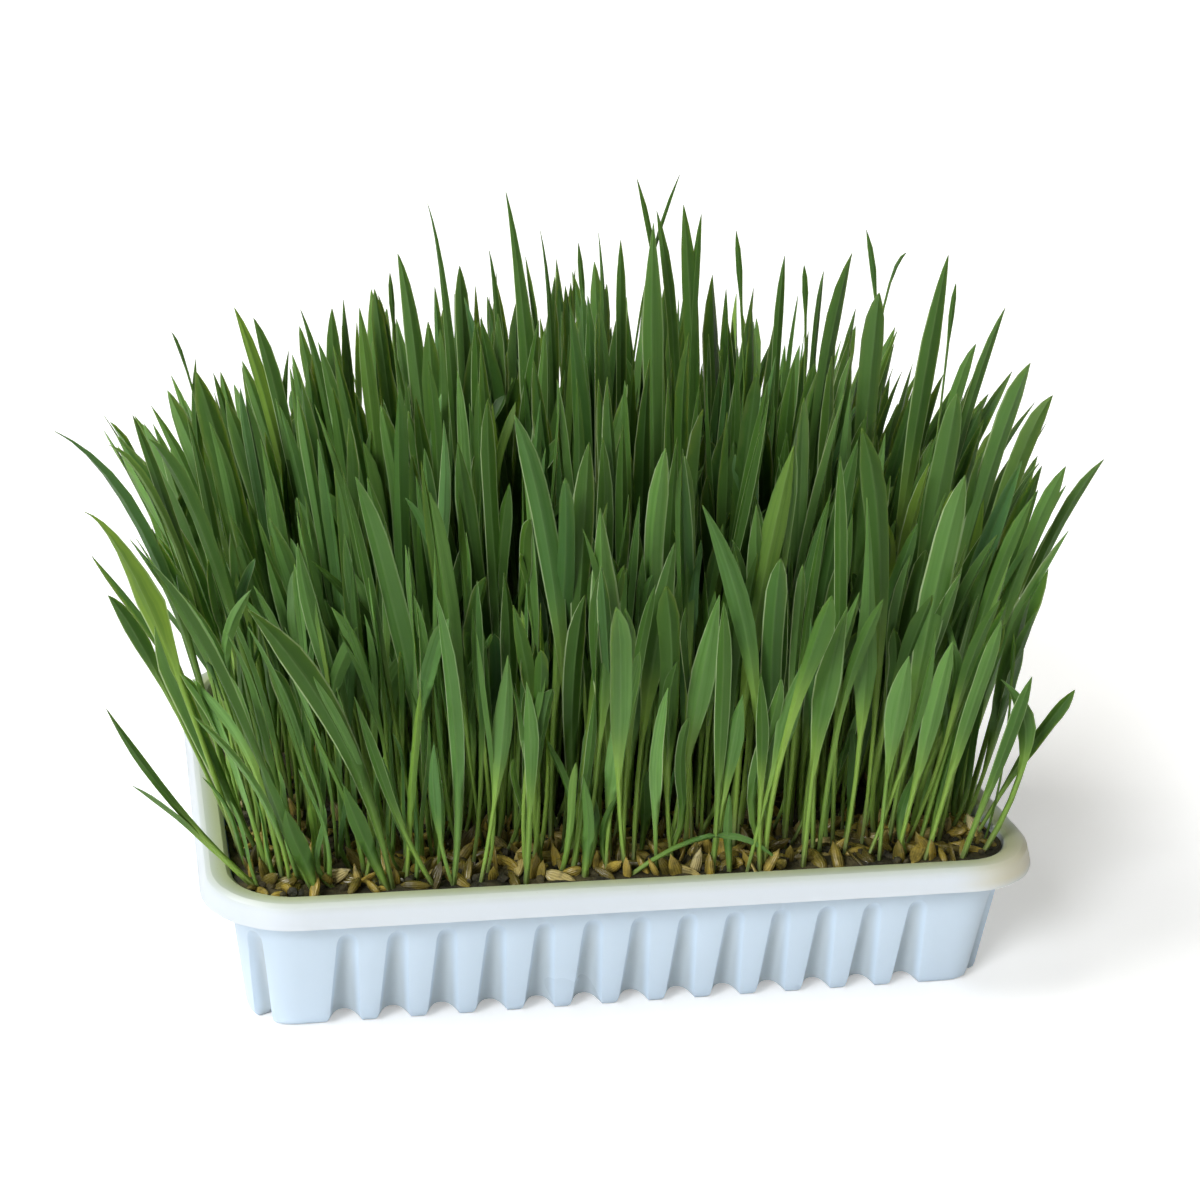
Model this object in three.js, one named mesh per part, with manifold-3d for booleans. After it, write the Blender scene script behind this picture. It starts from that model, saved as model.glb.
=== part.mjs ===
// A white plastic tray of wheatgrass: a thin fluted tray, the soil in it, sown kernels and tufts of shoots.
// Millimetres, +Z up. The origin is the centre of the tray's underside, +X runs along the tray's long side
// to the right and +Y runs to the back. Tufts are named by row, a at the front to f at the back, and by
// number, 1 at the left to 8 at the right.
import * as THREE from 'three';
import { mergeVertices } from 'three/addons/utils/BufferGeometryUtils.js';
import Module from 'manifold-3d';

const wasm = await Module();
wasm.setup();

// Tray: the rim's top outer edge is the outline that every inset below is measured from.
const RIM_LENGTH = 188.2;
const RIM_WIDTH = 141.5;
const RIM_CORNER = 19; // radius of the outline's corners
const TRAY_HEIGHT = 34.3;
const SHEET = 0.8; // thickness of the plastic
const SKIRT_DROP = 5.4; // from the rim's top to the skirt's lower edge
const SKIRT_FLARE = 1.25; // how far the skirt's lower edge stands out from the outline
const RIM_ROUNDING = 0.8;
const WALL_INSET_TOP = 5; // the wall's outer face, just under the skirt
const WALL_INSET_FOOT = 8.6; // the same face just above the foot's rounding
const FOOT_RADIUS = 2.6;
const FOOT_TURNS = [0, 45, 90]; // degrees round the foot's rounding, from the base to the wall
const LEAST_CORNER = 2; // radius that a corner keeps where an inset uses up the outline's own
const CORNER_SEGMENTS = 6;

// Flutes: upright channels pressed into the walls. They deepen downwards and run out under the foot. Their
// section is a flat floor between two flanks that slope outwards.
const LONG_SIDE_FLUTES = 13;
const LONG_SIDE_PITCH = 10.8;
const SHORT_SIDE_FLUTES = 9;
const SHORT_SIDE_PITCH = 10.36;
const ARCH_START = [5.5, 23.9]; // inset and height where the slope at a flute's top leaves the wall
const FLUTE_START = [7.6, 21.6]; // where that slope meets the flute's floor
const FLUTE_END = [12.4, 2.6]; // inset and height of the floor just above the foot
const ARCH_WIDTH = 1.6; // width of the slope at the top
const FLUTE_WIDTH_TOP = 2.2; // width of the floor
const FLUTE_WIDTH_FOOT = 2;
const FLANK_SLOPE = 0.62; // how far a flank opens aside for each millimetre outwards
const FLANK_REACH = 9; // how far outwards of the floor the cutters run
const RUNOUT_START = [7.2, 3.1]; // inset and height of the channel's ceiling at the foot
const RUNOUT_END = [22, 0]; // where the channel has run out under the base
const RUNOUT_WIDTH_FOOT = 3.2;
const RUNOUT_WIDTH_END = 2.4;
const BELOW_FOOT = 5; // how far the upright cutter runs on past the flute's end

// Soil: a bed that fills the tray to a little under the rim.
const SOIL_TOP = 29;
const SOIL_EDGE_CLEARANCE = 1.6; // room for the slope between a flute's end and its run-out
const GAP = 0.3; // clearance between pieces that lie against each other

// Tufts: shoots that grow so close together that they share one crown of roots and husks.
const TUFT_ROWS = 6;
const TUFT_COLUMNS = 8;
const TUFT_SPACING_X = 21.6;
const TUFT_SPACING_Y = 20.6;
const CROWN_RADIUS = 8.6;
const CROWN_TAPER = 1;
const CROWN_HEIGHT = 2.2;
const CROWN_SIDES = 8;
const SHOOTS_PER_TUFT = 4;
const SHOOT_SPREAD = 5.4; // from the crown's middle to a shoot's foot
const SHOOT_TRIES = 14; // new drawings of a shoot that finds no room, before it is left out

// A shoot: a narrow stem that opens into one long leaf, as shares of its length from foot to tip.
const SHOOT_STEPS = 4;
const STEM_WIDTH = 2.4;
const LEAF_WIDTH = 7;
const LEAF_THICKNESS = 1.5;
const TIP_WIDTH = 0.7;
const LEAF_OPENS = [0.15, 0.6];
const LEAF_CLOSES = [0.62, 1];
const KEEL = [[-0.5, 0.35], [0, -0.65], [0.5, 0.35]]; // section, as shares of width and thickness
const BEND_HEIGHT = 0.55; // the curve's middle control point, as a share of the height
const BEND_LEAN = 0.22; // and of the lean

// Height of the grass above the soil, and how far its tips lean outwards at the ends and the sides.
const HEIGHT_MIDDLE = 142;
const HEIGHT_LOST_AT_ENDS = 40;
const HEIGHT_LOST_AT_FRONT = 44;
const LEAN_AT_ENDS = 50;
const LEAN_AT_SIDES = 30;
const SHORTER_SHOOTS = 0.42; // how much of the height the last shoot of a tuft lacks
const UNEVEN_HEIGHT = 0.1;
const UNEVEN_LEAN = 5;
const TUFT_OPENING = 0.6; // how much further apart a tuft's tips stand than its feet
const LEAF_TURN = 2.2; // range of directions that the leaves' flat sides face, in radians
const GRASS_SEED = 14;

// Kernels: sown grains, each a little longer than a rice grain and twice as thick.
const KERNEL_LENGTH = 8.6;
const KERNEL_WIDTH = 3.6;
const KERNEL_HEIGHT = 2.9;
const KERNEL_ROW_Y = 60.2; // from the middle to the rows of kernels at the front and the back
const KERNEL_TURN = 0.5;
const BACK_KERNELS = 3;

const plastic = new THREE.MeshStandardMaterial({ color: 0xe9eff5, roughness: 0.42, metalness: 0 });
const earth = new THREE.MeshStandardMaterial({ color: 0x3a2a1c, roughness: 0.95, metalness: 0 });
const husk = new THREE.MeshStandardMaterial({ color: 0xb08a4c, roughness: 0.7, metalness: 0 });
const leaf = new THREE.MeshStandardMaterial({ color: 0x4c8a3a, roughness: 0.5, metalness: 0 });

// A seeded row of numbers between 0 and 1, so that every build grows the same grass.
function seeded(seed) {
  let state = seed;
  return () => {
    state = (Math.imul(state, 1664525) + 1013904223) >>> 0;
    return state / 4294967296;
  };
}

// Joins and cuts are made on manifold solids, from geometries that keep only their merged positions.
function solidOf(geometry) {
  const bare = geometry.clone();
  bare.deleteAttribute('normal');
  bare.deleteAttribute('uv');
  const merged = mergeVertices(bare, 1e-4);
  return new wasm.Manifold(
    new wasm.Mesh({
      numProp: 3,
      vertProperties: merged.attributes.position.array,
      triVerts: new Uint32Array(merged.index.array),
    }),
  );
}

function geometryOf(solid) {
  const mesh = solid.getMesh();
  const geometry = new THREE.BufferGeometry();
  geometry.setAttribute('position', new THREE.BufferAttribute(mesh.vertProperties, 3));
  geometry.setIndex(new THREE.BufferAttribute(mesh.triVerts, 1));
  geometry.computeVertexNormals();
  return geometry;
}

function named(name, geometry, material) {
  const mesh = new THREE.Mesh(geometry, material.clone());
  mesh.name = name;
  return mesh;
}

// Moves every vertex of an extruded geometry to place(x, y, z).
function reshape(geometry, place) {
  const position = geometry.getAttribute('position');
  const point = new THREE.Vector3();
  for (let i = 0; i < position.count; i += 1) {
    point.fromBufferAttribute(position, i);
    position.setXYZ(i, ...place(point).toArray());
  }
  return geometry;
}

// A profile of [inset, height] pairs, from bottom to top, carried round the tray's outline. Corners keep
// their centre until the inset uses up their radius.
function tub(profile) {
  const [a, b] = [RIM_LENGTH / 2 - RIM_CORNER, RIM_WIDTH / 2 - RIM_CORNER];
  const outline = new THREE.Shape();
  outline.absarc(a, b, RIM_CORNER, 0, Math.PI / 2);
  outline.absarc(-a, b, RIM_CORNER, Math.PI / 2, Math.PI);
  outline.absarc(-a, -b, RIM_CORNER, Math.PI, 1.5 * Math.PI);
  outline.absarc(a, -b, RIM_CORNER, 1.5 * Math.PI, 2 * Math.PI);
  const levels = profile.length - 1;
  const prism = new THREE.ExtrudeGeometry(outline, {
    depth: levels,
    steps: levels,
    curveSegments: CORNER_SEGMENTS,
    bevelEnabled: false,
  });
  return reshape(prism, ({ x, y, z }) => {
    const [inset, height] = profile[Math.round(z)];
    const centre = new THREE.Vector2(Math.sign(x) * a, Math.sign(y) * b);
    const outwards = new THREE.Vector2(x, y).sub(centre).divideScalar(RIM_CORNER);
    const radius = Math.max(RIM_CORNER - inset, LEAST_CORNER);
    const pulledIn = Math.max(inset - (RIM_CORNER - radius), 0);
    return new THREE.Vector3(
      centre.x - Math.sign(x) * pulledIn + outwards.x * radius,
      centre.y - Math.sign(y) * pulledIn + outwards.y * radius,
      height,
    );
  });
}

// The wall's outer face at a height, as an inset from the outline.
function wallInset(height) {
  const drop = (TRAY_HEIGHT - SKIRT_DROP - height) / (TRAY_HEIGHT - SKIRT_DROP - FOOT_RADIUS);
  return WALL_INSET_TOP + drop * (WALL_INSET_FOOT - WALL_INSET_TOP);
}

// The foot's rounding from the base up to the wall, pushed in by a thickness for the tray's inside.
function footProfile(thickness) {
  const [radius, points] = [FOOT_RADIUS - thickness, []];
  const centre = wallInset(FOOT_RADIUS) + FOOT_RADIUS;
  for (const turn of FOOT_TURNS) {
    const angle = THREE.MathUtils.degToRad(turn);
    points.push([centre - radius * Math.sin(angle), FOOT_RADIUS - radius * Math.cos(angle)]);
  }
  return points;
}

// A tapered cutter whose flat floor runs between two [inset, height] points. Its flanks slope away from the
// floor's edges. Thickness pushes the floor, the flanks and both ends outwards from the cutter.
function channelCutter(from, to, widthFrom, widthTo, thickness) {
  const start = new THREE.Vector2(...from);
  const end = new THREE.Vector2(...to);
  const along = end.clone().sub(start).normalize();
  const deeper = new THREE.Vector2(-along.y, along.x);
  start.addScaledVector(along, -thickness);
  end.addScaledVector(along, thickness);
  const besideFloor = thickness * (Math.hypot(1, FLANK_SLOPE) - FLANK_SLOPE);
  const cutter = new THREE.BoxGeometry(1, 1, 1);
  // The box's X runs across the channel, its Y from the open side to the floor and its Z from end to start.
  return solidOf(reshape(cutter, ({ x, y, z }) => {
    const depth = y > 0 ? thickness : -FLANK_REACH;
    const floor = (z > 0 ? widthFrom : widthTo) / 2 + besideFloor;
    const across = floor + FLANK_SLOPE * (thickness - depth);
    const point = (z > 0 ? start : end).clone().addScaledVector(deeper, depth);
    return new THREE.Vector3(Math.sign(x) * across, point.x, point.y);
  }));
}

// One flute's cutter: the slope at its top, the upright channel and its run-out under the base.
function fluteCutter(thickness) {
  const slope = (FLUTE_END[0] - FLUTE_START[0]) / (FLUTE_START[1] - FLUTE_END[1]);
  const bottom = [FLUTE_END[0] + BELOW_FOOT * slope, FLUTE_END[1] - BELOW_FOOT];
  const arch = channelCutter(ARCH_START, FLUTE_START, ARCH_WIDTH, FLUTE_WIDTH_TOP, thickness);
  const upright = channelCutter(FLUTE_START, bottom, FLUTE_WIDTH_TOP, FLUTE_WIDTH_FOOT, thickness);
  const runout = channelCutter(RUNOUT_START, RUNOUT_END, RUNOUT_WIDTH_FOOT, RUNOUT_WIDTH_END, thickness);
  return wasm.Manifold.union([arch, upright, runout]);
}

// Every flute of the tray: along each side, and one in the middle of each rounded corner.
function allFlutes(thickness) {
  const one = fluteCutter(thickness);
  const placed = [];
  const [halfLength, halfWidth] = [RIM_LENGTH / 2, RIM_WIDTH / 2];
  const put = (x, y, turn) => {
    const at = new THREE.Matrix4().makeRotationZ(turn).setPosition(x, y, 0);
    placed.push(one.transform(at.toArray()));
  };
  for (let i = 0; i < LONG_SIDE_FLUTES; i += 1) {
    const x = (i - (LONG_SIDE_FLUTES - 1) / 2) * LONG_SIDE_PITCH;
    put(x, -halfWidth, 0);
    put(x, halfWidth, Math.PI);
  }
  for (let i = 0; i < SHORT_SIDE_FLUTES; i += 1) {
    const y = (i - (SHORT_SIDE_FLUTES - 1) / 2) * SHORT_SIDE_PITCH;
    put(-halfLength, y, -Math.PI / 2);
    put(halfLength, y, Math.PI / 2);
  }
  for (const angle of [1, 3, 5, 7].map((eighth) => (eighth * Math.PI) / 4)) {
    const [cosine, sine] = [Math.cos(angle), Math.sin(angle)];
    const x = Math.sign(cosine) * (halfLength - RIM_CORNER) + RIM_CORNER * cosine;
    const y = Math.sign(sine) * (halfWidth - RIM_CORNER) + RIM_CORNER * sine;
    put(x, y, angle + Math.PI / 2);
  }
  return wasm.Manifold.union(placed);
}

function makeTray() {
  const skirtFoot = TRAY_HEIGHT - SKIRT_DROP;
  const rim = solidOf(tub([
    [-SKIRT_FLARE, skirtFoot],
    [0, TRAY_HEIGHT - RIM_ROUNDING],
    [0.3 * RIM_ROUNDING, TRAY_HEIGHT - 0.3 * RIM_ROUNDING],
    [RIM_ROUNDING, TRAY_HEIGHT],
  ]));
  const underRim = solidOf(tub([
    [SHEET - SKIRT_FLARE, skirtFoot - SHEET],
    [SHEET, TRAY_HEIGHT - SHEET - RIM_ROUNDING],
    [SHEET + RIM_ROUNDING, TRAY_HEIGHT - SHEET],
  ]));
  const body = solidOf(tub([...footProfile(0), [wallInset(TRAY_HEIGHT), TRAY_HEIGHT]]));
  const cavity = solidOf(tub([
    ...footProfile(SHEET),
    [wallInset(TRAY_HEIGHT) + SHEET, TRAY_HEIGHT - RIM_ROUNDING],
    [wallInset(TRAY_HEIGHT), TRAY_HEIGHT + SHEET / 4],
  ]));
  const shell = rim.subtract(underRim).add(body).subtract(allFlutes(0));
  return shell.subtract(cavity.subtract(allFlutes(SHEET)));
}

// The soil keeps clear of the flutes by tapering with their floors, and of their run-outs by a raised edge.
function makeSoil() {
  const clear = SHEET + GAP;
  const archTop = ARCH_START[1] + SHEET;
  return solidOf(tub([
    [RUNOUT_END[0] + SOIL_EDGE_CLEARANCE, clear],
    [FLUTE_END[0] + SHEET + SOIL_EDGE_CLEARANCE, RUNOUT_START[1] + clear],
    [FLUTE_START[0] + SHEET + 1.5 * GAP, FLUTE_START[1] + GAP],
    [wallInset(archTop) + clear, archTop],
    [wallInset(SOIL_TOP) + clear, SOIL_TOP],
  ]));
}

function makeKernel(x, y, turn) {
  const grain = new THREE.SphereGeometry(0.5, 8, 6);
  grain.scale(KERNEL_LENGTH, KERNEL_WIDTH, KERNEL_HEIGHT);
  grain.rotateZ(turn);
  grain.translate(x, y, SOIL_TOP + GAP + KERNEL_HEIGHT / 2);
  return grain;
}

// How wide a shoot is along its length, from the stem's foot (0) to the leaf's tip (1).
function shootWidth(t) {
  const open = THREE.MathUtils.lerp(STEM_WIDTH, LEAF_WIDTH, THREE.MathUtils.smoothstep(t, ...LEAF_OPENS));
  return THREE.MathUtils.lerp(open, TIP_WIDTH, THREE.MathUtils.smoothstep(t, ...LEAF_CLOSES));
}

// A shoot is a keeled strip, so its section is a flat triangle, bent along a curve that starts upright and
// leans more towards the tip. Extra thickness all round is used to test the room for it.
function makeShoot(shoot, extra = 0) {
  const section = new THREE.Shape(KEEL.map(([x, y]) => new THREE.Vector2(x, y)));
  const strip = new THREE.ExtrudeGeometry(section, {
    depth: SHOOT_STEPS,
    steps: SHOOT_STEPS,
    bevelEnabled: false,
  });
  const foot = new THREE.Vector3(shoot.x, shoot.y, SOIL_TOP + GAP + CROWN_HEIGHT / 2);
  const leaning = new THREE.Vector3(shoot.leanX, shoot.leanY, 0);
  const bend = foot.clone().addScaledVector(leaning, BEND_LEAN);
  bend.z += shoot.height * BEND_HEIGHT;
  const tip = foot.clone().add(leaning);
  tip.z += shoot.height;
  const curve = new THREE.QuadraticBezierCurve3(foot, bend, tip);
  const facing = new THREE.Vector3(Math.cos(shoot.turn), Math.sin(shoot.turn), 0);
  return reshape(strip, ({ x, y, z }) => {
    const t = z / SHOOT_STEPS;
    const forwards = curve.getTangent(t);
    const across = facing.clone().addScaledVector(forwards, -facing.dot(forwards)).normalize();
    const through = forwards.clone().cross(across);
    const thickness = THREE.MathUtils.lerp(LEAF_THICKNESS, TIP_WIDTH, t);
    return curve
      .getPoint(t)
      .addScaledVector(across, x * (shootWidth(t) + 2 * extra))
      .addScaledVector(through, y * (thickness + 2 * extra));
  });
}

// The grass stands tallest in the middle and at the back, and fans out over the tray's edges.
function drawShoot(tuft, number, random) {
  const across = tuft.x / (0.5 * TUFT_COLUMNS * TUFT_SPACING_X);
  const along = tuft.y / (0.5 * TUFT_ROWS * TUFT_SPACING_Y);
  const around = ((number + random() * 0.5) / SHOOTS_PER_TUFT) * 2 * Math.PI;
  const offset = new THREE.Vector2(Math.cos(around), Math.sin(around)).multiplyScalar(SHOOT_SPREAD);
  const lost = HEIGHT_LOST_AT_ENDS * across ** 2 + HEIGHT_LOST_AT_FRONT * Math.max(-along, 0) ** 1.5;
  const share = 1 - SHORTER_SHOOTS * (number / SHOOTS_PER_TUFT) - UNEVEN_HEIGHT * random();
  const fanX = share * LEAN_AT_ENDS * across * Math.abs(across);
  const fanY = share * LEAN_AT_SIDES * along * Math.abs(along);
  return {
    x: tuft.x + offset.x,
    y: tuft.y + offset.y,
    height: (HEIGHT_MIDDLE - lost) * share,
    leanX: fanX + TUFT_OPENING * offset.x + UNEVEN_LEAN * (random() - 0.5),
    leanY: fanY + TUFT_OPENING * offset.y + UNEVEN_LEAN * (random() - 0.5),
    turn: LEAF_TURN * (random() - 0.5),
  };
}

// A tuft's shoots, each drawn again until it stands clear of everything around the tuft.
function makeTuft(tuft, standing, random) {
  const top = CROWN_RADIUS - CROWN_TAPER;
  const crown = new THREE.CylinderGeometry(top, CROWN_RADIUS, CROWN_HEIGHT, CROWN_SIDES);
  crown.rotateX(Math.PI / 2);
  crown.translate(tuft.x, tuft.y, SOIL_TOP + GAP + CROWN_HEIGHT / 2);
  let solid = solidOf(crown);
  for (let number = 0; number < SHOOTS_PER_TUFT; number += 1) {
    for (let attempt = 0; attempt < SHOOT_TRIES; attempt += 1) {
      const shoot = drawShoot(tuft, number, random);
      const room = solidOf(makeShoot(shoot, GAP));
      if (standing.every((other) => room.intersect(other).isEmpty())) {
        solid = solid.add(solidOf(makeShoot(shoot)));
        break;
      }
    }
  }
  return solid;
}

const tray = makeTray();
const soil = makeSoil();
const wheatgrass = new THREE.Group();
wheatgrass.add(named('tray', geometryOf(tray), plastic));
wheatgrass.add(named('soil', geometryOf(soil), earth));

// Kernels lie between the crowns: one in each gap along the front edge, and a few along the back.
const kernels = [];
for (let gap = 1; gap < TUFT_COLUMNS; gap += 1) {
  const x = (gap - TUFT_COLUMNS / 2) * TUFT_SPACING_X;
  kernels.push(makeKernel(x, -KERNEL_ROW_Y, KERNEL_TURN * Math.sin(gap * 2.4)));
}
for (let gap = 0; gap < BACK_KERNELS; gap += 1) {
  const x = (gap - (BACK_KERNELS - 1) / 2) * 2 * TUFT_SPACING_X;
  kernels.push(makeKernel(x, KERNEL_ROW_Y, KERNEL_TURN * gap));
}
kernels.forEach((grain, i) => wheatgrass.add(named(`kernel_${i + 1}`, grain, husk)));

const random = seeded(GRASS_SEED);
const standing = [tray, ...kernels.map(solidOf)];
for (let row = 0; row < TUFT_ROWS; row += 1) {
  for (let column = 0; column < TUFT_COLUMNS; column += 1) {
    const tuft = {
      x: (column - (TUFT_COLUMNS - 1) / 2) * TUFT_SPACING_X,
      y: (row - (TUFT_ROWS - 1) / 2) * TUFT_SPACING_Y,
    };
    const solid = makeTuft(tuft, standing, random);
    standing.push(solid);
    wheatgrass.add(named(`tuft_${'abcdef'[row]}${column + 1}`, geometryOf(solid), leaf));
  }
}

export default wheatgrass;
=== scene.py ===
# %% [markdown]
# # A tray of wheatgrass
# Wheatgrass is sown thickly in a shallow white tray and sold when its leaves are about a hand high. The
# object has four kinds of piece: the thin fluted tray, the bed of dark soil, the sown kernels that lie on
# it, and the shoots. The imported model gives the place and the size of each, and this lesson builds the
# looks around it, piece by piece, in metres.

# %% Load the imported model
import math
import random

import bmesh
import bpy
from mathutils import Euler, Matrix, Vector, noise


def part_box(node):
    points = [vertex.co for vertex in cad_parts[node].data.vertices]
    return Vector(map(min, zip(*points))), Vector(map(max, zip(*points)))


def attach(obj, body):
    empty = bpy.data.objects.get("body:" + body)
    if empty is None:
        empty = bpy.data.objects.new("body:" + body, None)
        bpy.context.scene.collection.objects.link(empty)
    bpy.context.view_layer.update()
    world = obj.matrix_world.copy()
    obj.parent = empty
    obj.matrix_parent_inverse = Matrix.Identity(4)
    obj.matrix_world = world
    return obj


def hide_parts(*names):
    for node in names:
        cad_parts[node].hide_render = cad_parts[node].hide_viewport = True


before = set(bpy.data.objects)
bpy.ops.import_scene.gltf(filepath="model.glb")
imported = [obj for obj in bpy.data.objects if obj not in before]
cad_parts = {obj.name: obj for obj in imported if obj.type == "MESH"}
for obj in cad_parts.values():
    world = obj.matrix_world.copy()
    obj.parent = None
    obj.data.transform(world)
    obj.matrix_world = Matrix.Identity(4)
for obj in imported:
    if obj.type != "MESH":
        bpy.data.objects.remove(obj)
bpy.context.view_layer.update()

MM = 0.001  # every size below is written in millimetres and becomes metres through this

# %% [markdown]
# ## The camera
# The tray is seen from its front left, a little from above, through a long lens, so the rim's left end is
# a touch nearer. The camera is turned in three steps: tipped down, turned to the right, and rolled by
# three degrees about its own line of sight. Depth of field stays off, because a part is judged sharp.

# %% Camera
CAMERA_PLACE = (-112.4, -474.9, 247.6)
CAMERA_TURN = math.radians(13.57)  # to the right of straight ahead
CAMERA_TIP = math.radians(19.47)  # down from level
CAMERA_ROLL = math.radians(3.15)

lens = bpy.data.cameras.new("camera")
lens.lens, lens.sensor_width = 64.65, 36
lens.clip_start, lens.clip_end = 0.01, 50
camera = bpy.data.objects.new("camera", lens)
turned = (
    Matrix.Rotation(-CAMERA_TURN, 4, "Z")
    @ Matrix.Rotation(math.radians(90) - CAMERA_TIP, 4, "X")
    @ Matrix.Rotation(CAMERA_ROLL, 4, "Z")
)
camera.matrix_world = Matrix.Translation(Vector(CAMERA_PLACE) * MM) @ turned
bpy.context.scene.collection.objects.link(camera)
bpy.context.scene.camera = camera
print("camera at", [round(v, 3) for v in camera.location], "metres, lens", lens.lens, "mm")

# %% [markdown]
# ## Helpers for the finishes
# Every finish below is a small network of shader nodes. A few helpers write such a network as if it were
# plain arithmetic and painting, so each finish reads as what it does and not as how its nodes are joined.

# %% Node helpers


def new_group(name, inputs, outputs):
    """An empty shader node group with named inputs, which have defaults, and named outputs."""
    group = bpy.data.node_groups.new(name, "ShaderNodeTree")
    for label, kind, value in inputs:
        socket = group.interface.new_socket(label, in_out="INPUT", socket_type=kind)
        if value is not None:
            socket.default_value = value
    for label, kind in outputs:
        group.interface.new_socket(label, in_out="OUTPUT", socket_type=kind)
    return group, group.nodes.new("NodeGroupInput"), group.nodes.new("NodeGroupOutput")


def join(tree, made, links):
    """Joins a node's inputs to the outputs of others, or sets those that are given as values."""
    for socket, source in links.items():
        if isinstance(source, bpy.types.NodeSocket):
            tree.links.new(source, made.inputs[socket])
        else:
            made.inputs[socket].default_value = source
    return made


def node(tree, kind, links=None, **settings):
    """A new node with its settings, and with its inputs joined or set."""
    made = tree.nodes.new(kind)
    for key, value in settings.items():
        setattr(made, key, value)
    return join(tree, made, links or {})


def place_group(tree, group, links):
    """Places a node group in a material, with its own values."""
    return node(tree, "ShaderNodeGroup", links, node_tree=group)


def math_node(tree, operation, first, second=0.0, third=0.0):
    """One step of arithmetic; returns its output socket."""
    return node(tree, "ShaderNodeMath", {0: first, 1: second, 2: third}, operation=operation).outputs[0]


def times(tree, first, second):
    """One value times another, which is also how one mask limits another."""
    return math_node(tree, "MULTIPLY", first, second)


def smooth_step(tree, value, low, high):
    """0 below low, 1 above high, and a smooth change between."""
    ends = {0: value, 1: low, 2: high}
    return node(tree, "ShaderNodeMapRange", ends, interpolation_type="SMOOTHSTEP").outputs[0]


def rescale(tree, value, old, new):
    """Maps a value from the range old to the range new, and stops at both ends."""
    return node(tree, "ShaderNodeMapRange", dict(enumerate((value, *old, *new)))).outputs[0]


def blend_colours(tree, share, first, second):
    """A colour that goes from first to second as share goes from 0 to 1."""
    first, second = (c if isinstance(c, bpy.types.NodeSocket) else (*c, 1) for c in (first, second))
    return node(tree, "ShaderNodeMix", {0: share, 6: first, 7: second}, data_type="RGBA").outputs[2]


def paint(tree, colour, layers):
    """Lays colours over one another. Each layer is the share that it covers, and its colour."""
    for share, over in layers:
        colour = blend_colours(tree, share, colour, over)
    return colour


def object_place(tree):
    """Each point's own place on the object, which a pattern hangs on."""
    return node(tree, "ShaderNodeTexCoord").outputs["Object"]


def finish_surface(tree, shader, colour, roughness, relief, strength, distance):
    """Joins a finish's colour, roughness and fine relief to its shader."""
    bump = node(tree, "ShaderNodeBump", {"Height": relief, "Strength": strength, "Distance": distance})
    join(tree, shader, {"Base Color": colour, "Roughness": roughness, "Normal": bump.outputs[0]})


print("node helpers are ready")

# %% [markdown]
# ## Floor and light
# A pale floor stands in for a studio table, and a round pale backdrop for the wall behind it. One broad
# lamp at the front left is the main light: it brightens the left flanks of the flutes and leaves the right
# ones grey. A second one above the left end helps it, a weak warm one fills from the right, and the last,
# above and behind, picks out the leaf edges. They are sun lamps with a wide angle, which are soft and light
# the whole floor evenly. The world adds a glow, so the shadows between the leaves are dark but not black.

# %% Floor
FLOOR_SIZE, BACKDROP_RADIUS = 12.0, 5.5  # metres
FLOOR_GLOW = 0.36


def simple_material(name, colour, roughness, more=None):
    """A new material, its node tree and its Principled shader, with the plain values set."""
    material = bpy.data.materials.new(name)
    material.use_nodes = True
    tree = material.node_tree
    values = {"Base Color": (*colour, 1), "Roughness": roughness} | (more or {})
    return material, tree, join(tree, tree.nodes["Principled BSDF"], values)


def object_from(bm, name, *materials):
    """Turns a bmesh into an object that sits at the origin, and frees the bmesh."""
    mesh = bpy.data.meshes.new(name)
    bm.to_mesh(mesh)
    bm.free()
    for material in materials:
        mesh.materials.append(material)
    made = bpy.data.objects.new(name, mesh)
    bpy.context.scene.collection.objects.link(made)
    return made


def extrude(bm, edges):
    """Extrudes a ring of edges, which stays in place; returns its new vertices and edges."""
    grown = bmesh.ops.extrude_edge_only(bm, edges=edges)["geom"]
    fresh = {part for part in grown if isinstance(part, bmesh.types.BMVert)}
    new_edges = (part for part in grown if isinstance(part, bmesh.types.BMEdge))
    return fresh, [edge for edge in new_edges if set(edge.verts) <= fresh]


bm = bmesh.new()
bmesh.ops.create_grid(bm, x_segments=1, y_segments=1, size=FLOOR_SIZE / 2)
matt = {"Specular IOR Level": 0.1, "Emission Color": (1, 1, 1, 1)}
floor_finish, tree, shader = simple_material("floor paper", (0.97, 0.97, 0.97), 0.9, matt)
# What the camera sees of the paper is lifted towards white. The glow lights nothing else.
seen = node(tree, "ShaderNodeLightPath").outputs["Is Camera Ray"]
join(tree, shader, {"Emission Strength": times(tree, seen, FLOOR_GLOW)})
floor = object_from(bm, "floor", floor_finish)

bm = bmesh.new()
bmesh.ops.create_circle(bm, segments=96, radius=BACKDROP_RADIUS)
top, _ = extrude(bm, bm.edges[:])
bmesh.ops.translate(bm, verts=list(top), vec=(0, 0, BACKDROP_RADIUS))
bmesh.ops.recalc_face_normals(bm, faces=bm.faces)
bmesh.ops.reverse_faces(bm, faces=bm.faces)
backdrop = object_from(bm, "backdrop", floor_finish)
backdrop.visible_diffuse = backdrop.visible_glossy = backdrop.visible_transmission = False
backdrop.visible_shadow = False  # it is only seen: the lamps and the world shine through it
print("floor:", FLOOR_SIZE, "metres square, inside a round backdrop")

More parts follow.
